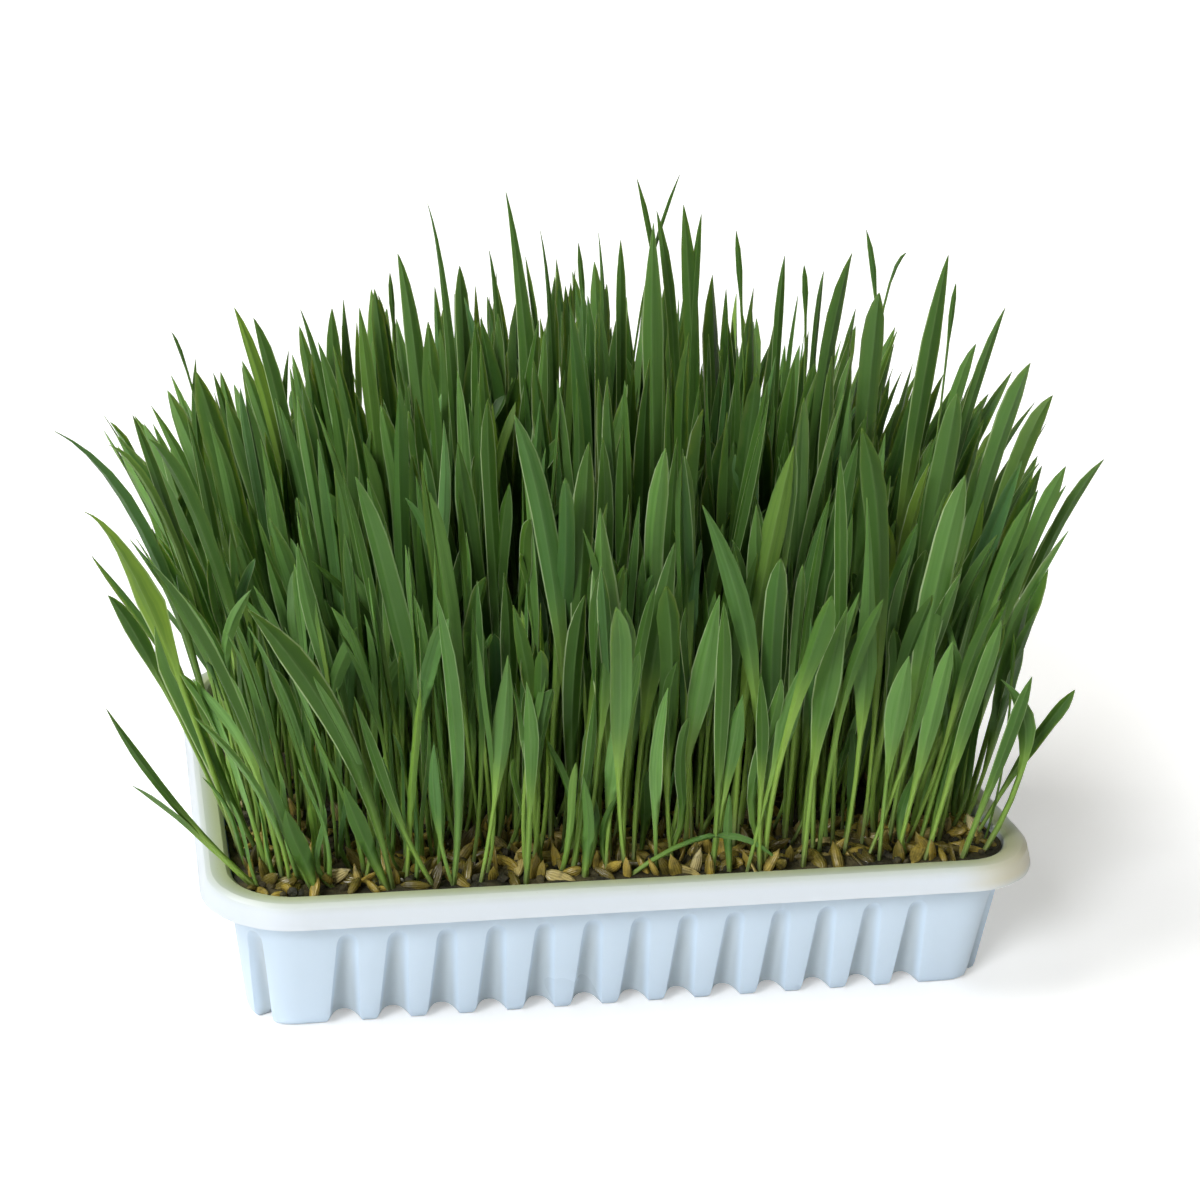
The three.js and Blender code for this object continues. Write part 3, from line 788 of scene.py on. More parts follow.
# %% Kernels over the whole bed
KERNELS_BY_ROW = {"a": 330, "b": 130, "c": 55, "d": 55, "e": 55, "f": 90}
ROW_SPACING, ROW_REACH, LAST_ROW_REACH = 20.6, 10.3, 13.4  # the first and the last row reach on to the wall
LEAST_GAP = 3.8 ** 0.5  # between two kernels' middles
LYING_EMPTY, EMPTY_HEIGHT = 0.3, 0.35  # this share of the husks is empty, and so much flatter
STANDING_UP = 0.42
for row, (letter, count) in enumerate(KERNELS_BY_ROW.items()):
    bm = bmesh.new()
    laid = []
    while len(laid) < count:
        x, y = bed_place(rng, 2.2)
        reach = LAST_ROW_REACH if row in (0, 5) else ROW_REACH
        y = clamp((row - 2.5) * ROW_SPACING + y / BED_Y * reach, -BED_Y, 61.5)
        if room_to_wall(x, y) < 0.6 or any(math.dist((x, y), other) < LEAST_GAP for other in laid):
            continue
        laid.append((x, y))
        upright = rng.random() < STANDING_UP
        tip = rng.uniform(0.6, 1.5) if upright else rng.gauss(0, 0.3)
        z = soil_height(x, y) + (1.5 if upright else -0.3 + 1.6 * rng.random())
        heading, size = rng.uniform(0, 2 * math.pi), rng.uniform(0.52, 0.95)
        # Further back they are paler, since they are drier there.
        tint = min(rng.betavariate(1.5, 2.2) + 0.06 * row, 1)
        full = EMPTY_HEIGHT if rng.random() < LYING_EMPTY else 1.0
        lay_kernel(bm, x, y, z, heading, tip, size, tint, full)
    spread = object_from(bm, f"kernels_row_{letter}", husk)
    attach(spread, "root")
print("kernels on the bed:", sum(KERNELS_BY_ROW.values()))

# %% [markdown]
# ## The grass
# A wheat shoot is a pale rolled sheath that opens into a long leaf: a keeled strip, widest past its
# middle, drawn out to a sharp tip. Many shoots carry a second leaf that parts from the sheath part of the
# way up. Particles or hair would give bare lines, so every leaf is a thin closed body made from one blank:
# a four-sided rod cut into twelve steps, two of whose sides are the leaf's edges. A rule sets how high the
# leaves reach and how far they lean at each place, because the stand is tallest in the middle and fans
# out over the rim all round.

# %% The blank that every leaf is shaped from
STEPS = [0, 0.11, 0.23, 0.34, 0.44, 0.53, 0.62, 0.71, 0.79, 0.87, 0.935, 0.98, 1]  # shares of the length
ROLLED_STEPS = 3  # as far as here the leaf is a round sheath with no edges

bm = bmesh.new()
blade_map = bm.loops.layers.uv.new("blade")
bake_map = bm.loops.layers.uv.new("OFBake")
row_of, side_of = bm.verts.layers.int.new("row"), bm.verts.layers.int.new("side")
bmesh.ops.create_cone(bm, cap_ends=True, segments=4, radius1=0.5, radius2=0.5, depth=1)
upright = [edge for edge in bm.edges if abs(edge.verts[0].co.z - edge.verts[1].co.z) > 0.5]
bmesh.ops.subdivide_edges(bm, edges=upright, cuts=len(STEPS) - 2, use_grid_fill=True)
for vert in bm.verts:
    vert[row_of] = round((vert.co.z + 0.5) * (len(STEPS) - 1))
    vert[side_of] = round(math.atan2(vert.co.y, vert.co.x) / (math.pi / 2) + 3) % 4
bmesh.ops.recalc_face_normals(bm, faces=bm.faces)
for edge in bm.edges:
    first, second = edge.verts
    along_leaf = first[side_of] == second[side_of]
    if along_leaf and min(first[row_of], second[row_of]) >= ROLLED_STEPS:
        edge.smooth = False
for face in bm.faces:
    face.smooth = True
    sides = {vert[side_of] for vert in face.verts}
    is_cap = len(sides) == 4
    for loop in face.loops:
        row, side = loop.vert[row_of], loop.vert[side_of]
        last = side == 0 and 3 in sides  # the map's seam: here the way round ends instead of beginning
        loop[blade_map].uv = (2 if last else side / 2, STEPS[row])
        if is_cap:
            up = (0.01 if row == 0 else 0.97) + (0, 0, 0.02, 0.02)[side]
            loop[bake_map].uv = ((0.1, 0.9, 0.9, 0.1)[side], up)
        else:
            loop[bake_map].uv = ((4 if last else side) / 4 * 0.9 + 0.05, 0.05 + 0.9 * STEPS[row])
blank = bpy.data.meshes.new("leaf blank")
bm.to_mesh(blank)
BLANK_PLACES = [(vert[row_of], vert[side_of]) for vert in bm.verts]
BLANK_FACES = len(bm.faces)
bm.free()
print("the blank has", BLANK_FACES, "faces")

# %% Shaping one leaf
SHEATH_DEPTH, BLADE_THICKNESS = 0.9, 0.55  # a share of the sheath's width, and millimetres
TIP_THINNER, TIP_NARROWER = 0.75, 0.97  # shares that are gone at the very tip


def bezier(points, t):
    """A point and a direction on a cubic curve."""
    a, b, c, d = points
    s = 1 - t
    point = a * s ** 3 + b * (3 * s * s * t) + c * (3 * s * t * t) + d * t ** 3
    heading = (b - a) * (s * s) + (c - b) * (2 * s * t) + (d - c) * (t * t)
    return point, heading.normalized()


def ease(value, low, high):
    """0 below low, 1 above high, and a smooth change between, as in smooth_step."""
    share = clamp((value - low) / (high - low))
    return share * share * (3 - 2 * share)


def leaf_size(t, leaf):
    """Width and thickness of a leaf at a share of its length, in millimetres, and how far it is open."""
    opening = ease(t, leaf["opens"], leaf["opens"] + leaf["opening"])
    width = leaf["stem"] + (leaf["width"] - leaf["stem"]) * opening
    closing = clamp((t - leaf["widest"]) / (1 - leaf["widest"]))
    width *= 1 - closing ** leaf["tip"] * TIP_NARROWER
    thickness = leaf["stem"] * SHEATH_DEPTH * (1 - opening) + BLADE_THICKNESS * opening
    return width, thickness * (1 - TIP_THINNER * ease(t, 0.8, 1)), opening


def add_leaf(bm, leaf, growth_of):
    """Adds one leaf to a tuft: a copy of the blank, each of whose rings is laid across the leaf's curve."""
    bm.from_mesh(blank)
    bm.verts.ensure_lookup_table()
    fresh = bm.verts[-len(BLANK_PLACES):]
    frames = []
    for t in STEPS:
        centre, heading = bezier(leaf["curve"], t)
        facing = leaf["facing"] + leaf["twist"] * t
        across = Vector((math.cos(facing), math.sin(facing), 0))
        across = (across - heading * across.dot(heading)).normalized()
        through = heading.cross(across)
        sway = leaf["sway"] * math.sin(leaf["sway_phase"] + 5.2 * t) * t
        width, thickness, opening = leaf_size(t, leaf)
        width *= 1 + leaf["ripple"] * opening * math.sin(3 * leaf["sway_phase"] + 12 * t)
        frames.append((centre + across * sway, across, through, width, thickness, opening))
    for vert, (row, side) in zip(fresh, BLANK_PLACES):
        centre, across, through, width, thickness, opening = frames[row]
        if side % 2:  # the midrib, above and below
            point = centre + through * (thickness / 2 if side == 1 else -thickness / 2)
        else:  # the two edges, lifted above the midrib like a keel's sides
            hand = 1 if side == 2 else -1
            point = centre + across * (hand * width / 2) + through * (leaf["fold"] * width / 2 * opening)
        vert.co = point * MM
        open_colour = opening * leaf["sheath"] + 1 - leaf["sheath"]
        vert[growth_of] = (leaf["tone"], leaf["light"], open_colour, leaf["streaks"])


def new_tuft_bmesh():
    """An empty bmesh with the blank's maps and the attribute that the leaf's finish reads."""
    bm = bmesh.new()
    bm.loops.layers.uv.new("blade")
    bm.loops.layers.uv.new("OFBake")
    return bm, bm.verts.layers.float_color.new("growth")


def lay_out_bake(bm):
    """Gives each leaf of a tuft a tile of its own in the map that colours can be stored on."""
    bake = bm.loops.layers.uv["OFBake"]
    bm.faces.ensure_lookup_table()
    leaves = len(bm.faces) // BLANK_FACES
    columns = math.ceil(leaves / 2)
    for i, face in enumerate(bm.faces):
        row, column = divmod(i // BLANK_FACES, columns)
        for loop in face.loops:
            u, v = loop[bake].uv
            loop[bake].uv = ((column + u) / columns, (row + v) / 2)


print("leaves are shaped on", len(STEPS), "sections")

# %% [markdown]
# ## How the stand grows
# The rule is like the imported model's own: height is lost towards the two ends and towards the front, and
# the lean grows with the square of the distance from the middle. Each tuft has its cell of the bed, and its
# shoots stand in that cell with some disorder. Shares of the full height, widths, twists and tones are
# drawn from a seeded row of numbers, so that the same grass grows every time. In the front row the random
# shoots stay low, since the ones placed one by one stand there, and some have only a narrow young leaf.

# %% The growth rule
TUFT_ROWS, TUFT_COLUMNS = 6, 8
TUFT_SPACING_X, TUFT_SPACING_Y = 21.6, 20.6
HALF_SPAN_X, HALF_SPAN_Y = TUFT_SPACING_X * TUFT_COLUMNS / 2, TUFT_SPACING_Y * TUFT_ROWS / 2
HEIGHT_MIDDLE, LOST_AT_ENDS, LOST_AT_FRONT, LOST_AT_BACK = 125, 34, 40, 12
TALLER_TO_THE_RIGHT = 6
LEAN_AT_ENDS, LEAN_AT_FRONT, LEAN_AT_BACK = 24, 10, 22
LEAN_OF_ALL = -3  # to the left, where the light came from
MOST_LEAN = 32
# Painted light: the leaves are made lighter towards the left end, where the lamps shine from.
PAINTED_LIGHT_TO_THE_LEFT, NARROWER_AT_FRONT_LEFT = 1.0, 0.5  # shares
REACH_X = (-112, 108)  # no random leaf goes further out
SECOND_ROW = -40  # the shoots in front of this are mostly placed one by one
SHORTER_MOST = 0.58  # share of the height that the shortest shoots lack
LOW_LEAVES, SECOND_LEAVES = 0.4, 0.4  # shares of the shoots that are low, or have a second leaf
LEAST_REACH = 24  # of a second leaf, from where it parts


def to_the_left(x):
    """0 as far as the tray's middle, and 1 at its left end."""
    return ease(-x, 20, 76)


def full_growth(x, y):
    """Height and lean of a full-grown shoot that stands at a place on the bed."""
    across, along = x / HALF_SPAN_X, y / HALF_SPAN_Y
    height = HEIGHT_MIDDLE + TALLER_TO_THE_RIGHT * across
    height -= LOST_AT_ENDS * across ** 2
    height -= LOST_AT_FRONT * max(-along, 0) ** 1.5 + LOST_AT_BACK * max(along, 0)
    outwards = LEAN_AT_BACK * along ** 2 if along > 0 else -LEAN_AT_FRONT * along ** 2
    return height, Vector((LEAN_OF_ALL + LEAN_AT_ENDS * across * abs(across), outwards, 0))


heights = [round(full_growth(0, y)[0]) for y in (0, -60)]
print("full height in the middle and at the front:", heights, "mm")

# %% One random shoot


def leaf_shape(rng, **changes):
    """A leaf's own sizes and tones, drawn at random within a wheat leaf's range."""
    leaf = {  # most leaves face the front, and few twist far
        "width": rng.uniform(2.7, 5.2),
        "stem": rng.uniform(0.9, 1.5),
        "opens": rng.uniform(0.12, 0.48),
        "opening": rng.uniform(0.3, 0.5),
        "widest": rng.uniform(0.7, 0.88),
        "tip": rng.uniform(1.5, 2.6),
        "fold": rng.uniform(0.15, 0.75),
        "facing": rng.uniform(-1.1, 0.7) if rng.random() < 0.72 else rng.uniform(-math.pi, math.pi),
        "twist": rng.gauss(0, 0.4) if rng.random() < 0.8 else rng.choice((-1, 1)) * rng.uniform(1.2, 2.6),
        "sway": rng.uniform(0, 1.8),
        "sway_phase": rng.uniform(0, 2 * math.pi),
        "ripple": rng.uniform(0, 0.1),
        "tone": min(clamp(rng.gauss(0.45, 0.2)), 0.85),
        "light": clamp(rng.gauss(0.34, 0.36)),
        "sheath": rng.uniform(0.55, 1.0),
        "streaks": rng.random(),
    }
    return leaf | changes


def add_shoot(bm, growth_of, rng, x, y, offset):
    """One shoot: its main leaf, and on many shoots a second leaf that parts from the sheath."""
    shorter = SHORTER_MOST * (1 - 0.55 * (x / HALF_SPAN_X) ** 2)  # few short shoots stand at the ends
    share = 1.0 - shorter * rng.random() ** 1.1
    low_leaf = {}
    if y < SECOND_ROW:
        share = 0.85 * (0.5 + 0.5 * share)  # even and lower here, so that the single shoots stand out
        if rng.random() < LOW_LEAVES + 0.2 * to_the_left(x):
            share *= rng.uniform(0.35, 0.7)
            low_leaf = {"opens": 0.08, "opening": 0.5, "width": rng.uniform(1.6, 3.2), "sheath": 0.6}
    height, lean = full_growth(x, y)
    foot = Vector((x, y, soil_height(x, y) - 0.5))
    rise = Vector((0, 0, height * share))
    disorder = Vector((rng.gauss(0, 6), rng.gauss(0, 5), 0))
    lean = lean * share ** 1.5 + 0.1 * offset * share + disorder * share
    stray = Vector((rng.gauss(0, 4), rng.gauss(0, 3), 0))
    lean.x = clamp(lean.x, -MOST_LEAN, MOST_LEAN)
    knee, neck = 0.147 * lean + 0.367 * rise + stray, 0.48 * lean + 0.7 * rise
    curve = [foot, foot + knee, foot + neck, foot + lean + rise]
    main = leaf_shape(rng, curve=curve) | low_leaf
    # painted light: lighter towards the left end, where the lamps shine from
    main["light"] = clamp(main["light"] + PAINTED_LIGHT_TO_THE_LEFT * ease(-x, 16, 84))
    main["width"] *= 1 - NARROWER_AT_FRONT_LEFT * ease(-x, -10, 50) * ease(-y, 0, 45)
    main["facing"] *= 1 - 0.6 * ease(y, -20, 30)  # so that the outline at the back shows broad leaves
    add_leaf(bm, main, growth_of)
    if rng.random() < SECOND_LEAVES and not low_leaf:
        parts_at = rng.uniform(0.35, 0.6)
        start, heading = bezier(curve, parts_at)
        reach = max((0.5 + 0.4 * rng.random()) * height * share - (start.z - foot.z), LEAST_REACH)
        away = rng.uniform(0, 2 * math.pi)
        aside = Vector((math.cos(away), 0.8 * math.sin(away), 0)) * rng.uniform(2, 10)
        upwards = (heading + Vector((0, 0, 1))).normalized()
        end = start + upwards * reach + aside
        end.x = clamp(end.x, *REACH_X)
        ahead = heading * reach
        side_curve = [start, start + ahead * 0.35, start + ahead * 0.7 + aside * 0.4, end]
        tone, light = clamp(main["tone"] + rng.gauss(0, 0.1)), clamp(main["light"] + rng.gauss(0, 0.15))
        shape = leaf_shape(rng, curve=side_curve, tone=tone, light=light)
        shape |= {"opens": 0.04, "opening": 0.42, "sheath": 0.35}
        shape |= {"stem": main["stem"] * 0.6, "width": shape["width"] * 0.8}
        add_leaf(bm, shape, growth_of)


print("a leaf has", len(leaf_shape(random.Random(0))), "values of its own")

# %% [markdown]
# ## The leaf's finish
# A wheat leaf is matt and bluish where it is fresh, greener in the light and almost yellow in its sheath.
# Faint veins and darker streaks run its whole length, its midrib is faintly paler, and on some leaves one
# edge gets a painted highlight. The strip's own map gives the place across and along the leaf, and the
# growth attribute carries what differs from leaf to leaf: its tone, its lightness, how far it is open and
# its streaks. The lightness is partly random tone and partly painted light: it grows towards the left end,
# where the lamps shine from, and on the single shoots it also stands in for how brightly each leaf is lit.
# The colours are then laid one by one.

# %% A leaf's map and patterns
leaf_green, tree, shader = simple_material("wheat leaf", (0.1, 0.2, 0.06), 0.5, {
    "Specular IOR Level": 0.24,
    "Subsurface Weight": 0.25,
    "Subsurface Radius": (0.8, 1.0, 0.25),
    "Subsurface Scale": 0.001,
})
strip = node(tree, "ShaderNodeUVMap", uv_map="blade").outputs["UV"]
strip = node(tree, "ShaderNodeSeparateXYZ", {0: strip})
along = strip.outputs["Y"]
across = math_node(tree, "PINGPONG", strip.outputs["X"], 1.0)
under = smooth_step(tree, strip.outputs["X"], 1.0, 1.02)
growth = node(tree, "ShaderNodeAttribute", attribute_name="growth")
grown = node(tree, "ShaderNodeSeparateColor", {0: growth.outputs["Color"]})
tone, light_share, opening = grown.outputs[:3]
own_streaks = growth.outputs["Alpha"]
cloudy = place_group(tree, mottle, {"Place": object_place(tree), "Scale": 45.0, "Detail": 2.0})
streak_place = {0: times(tree, across, 4.5), 1: times(tree, along, 1.4), 2: times(tree, own_streaks, 40.0)}
streak_place = node(tree, "ShaderNodeCombineXYZ", streak_place).outputs[0]
streaks = place_group(tree, mottle, {"Place": streak_place, "Scale": 1.0, "Detail": 3.0})
veins = place_group(tree, fine_lines, {"Across": across, "Count": 7.0})
print("finish:", leaf_green.name)

# %% A leaf's colours
# Where each colour lies: on leaves of one tone, in blotches and streaks, as a painted highlight on
# edges, and low down.
yellowish, bluish = smooth_step(tree, tone, 0.65, 1.0), smooth_step(tree, tone, 0.4, 0.0)
shade = smooth_step(tree, cloudy.outputs["Soft"], 0.4, 0.75)
streaked = smooth_step(tree, streaks.outputs["Soft"], 0.42, 0.68)
# A painted highlight along one edge of some leaves, and a faintly paler midrib.
highlit_edge_side = math_node(tree, "MULTIPLY_ADD", smooth_step(tree, across, 0.6, 0.4), 0.6, 0.35)
edge_highlight_and_midrib = times(tree, veins.outputs["Edge"], highlit_edge_side)
edge_highlight_and_midrib = times(tree, edge_highlight_and_midrib, smooth_step(tree, own_streaks, 0.35, 0.85))
edge_highlight_and_midrib = math_node(tree, "MAXIMUM", edge_highlight_and_midrib, times(tree, veins.outputs["Middle"], 0.06))
sheath = math_node(tree, "SUBTRACT", 1.0, smooth_step(tree, opening, 0.0, 0.9))
low_down = times(tree, smooth_step(tree, along, 0.12, 0.0), times(tree, sheath, 0.7))
# A lighter green set by each leaf's lightness, which is partly random tone and partly painted light.
lightness_and_painted_light = math_node(tree, "POWER", light_share, 2.0)
greens = [
    (lightness_and_painted_light, (0.200, 0.400, 0.105)),
    (yellowish, (0.28, 0.44, 0.035)),
    (times(tree, bluish, 0.6), (0.095, 0.245, 0.10)),
    (times(tree, under, 0.45), (0.05, 0.12, 0.012)),
    (times(tree, shade, 0.3), (0.038, 0.10, 0.010)),
    (times(tree, streaked, 0.42), (0.042, 0.12, 0.014)),
    (times(tree, veins.outputs["Lines"], 0.04), (0.035, 0.1, 0.02)),
    (edge_highlight_and_midrib, (0.36, 0.49, 0.22)),
    (times(tree, sheath, 0.85), (0.27, 0.43, 0.075)),
    (low_down, (0.46, 0.54, 0.22)),
]
green = paint(tree, (0.033, 0.086, 0.011), greens)
gloss = rescale(tree, cloudy.outputs["Soft"], (0, 1), (0.38, 0.6))
finish_surface(tree, shader, green, gloss, streaks.outputs["Soft"], 0.25, 0.0003)
print("colours over a leaf's dark green:", len(greens))

# %% [markdown]
# ## Shoots placed one by one
# A rule alone grows an even lawn. The eye rests on the front row, where every shoot is seen whole, and on
# the outline, where single tips stand clear of the mass, so the shoots there are placed one by one. Each
# row below gives a shoot's foot (x, y), the x and z of the middle of its length, its tip (x, y, z), its
# greatest width, the kind of leaf, and its tone and lightness. All are in millimetres, or shares from 0
# to 1. A kind is what the eye tells apart: a strap is open from low down, a wisp stays rolled to its end.

# %% Kinds of leaf
KINDS = {
    "blade": {"opens": 0.2, "opening": 0.45, "widest": 0.8, "tip": 1.6, "fold": 0.35},
    "strap": {"opens": 0.05, "opening": 0.55, "widest": 0.76, "tip": 1.5, "fold": 0.4, "sheath": 0.5},
    "taper": {"opens": 0.22, "opening": 0.4, "widest": 0.7, "tip": 1.25, "fold": 0.35},
    "lens": {"opens": 0.34, "opening": 0.34, "widest": 0.7, "tip": 1.5, "fold": 0.25},
    "low": {"opens": 0.03, "opening": 0.4, "widest": 0.62, "tip": 1.5, "fold": 0.25, "sheath": 0.7},
    "thin": {"opens": 0.2, "opening": 0.5, "widest": 0.72, "tip": 1.5, "fold": 0.3},
    "spear": {"opens": 0.3, "opening": 0.25, "widest": 0.55, "tip": 0.85, "fold": 0.3},
    "paddle": {"opens": 0.35, "opening": 0.3, "widest": 0.82, "tip": 2.2, "fold": 0.2},
    "vee": {"opens": 0.36, "opening": 0.26, "widest": 0.7, "tip": 1.6, "fold": 0.8},
    "wisp": {
        "opens": 0.76, "opening": 0.14, "widest": 0.9, "tip": 1.5, "fold": 0.2,
        "stem": 0.55, "sheath": 0.4,
    },
    "arch": {"opens": 0.1, "opening": 0.4, "widest": 0.6, "tip": 1.4, "fold": 0.3, "stem": 1.2},
}
print("kinds of leaf:", list(KINDS))

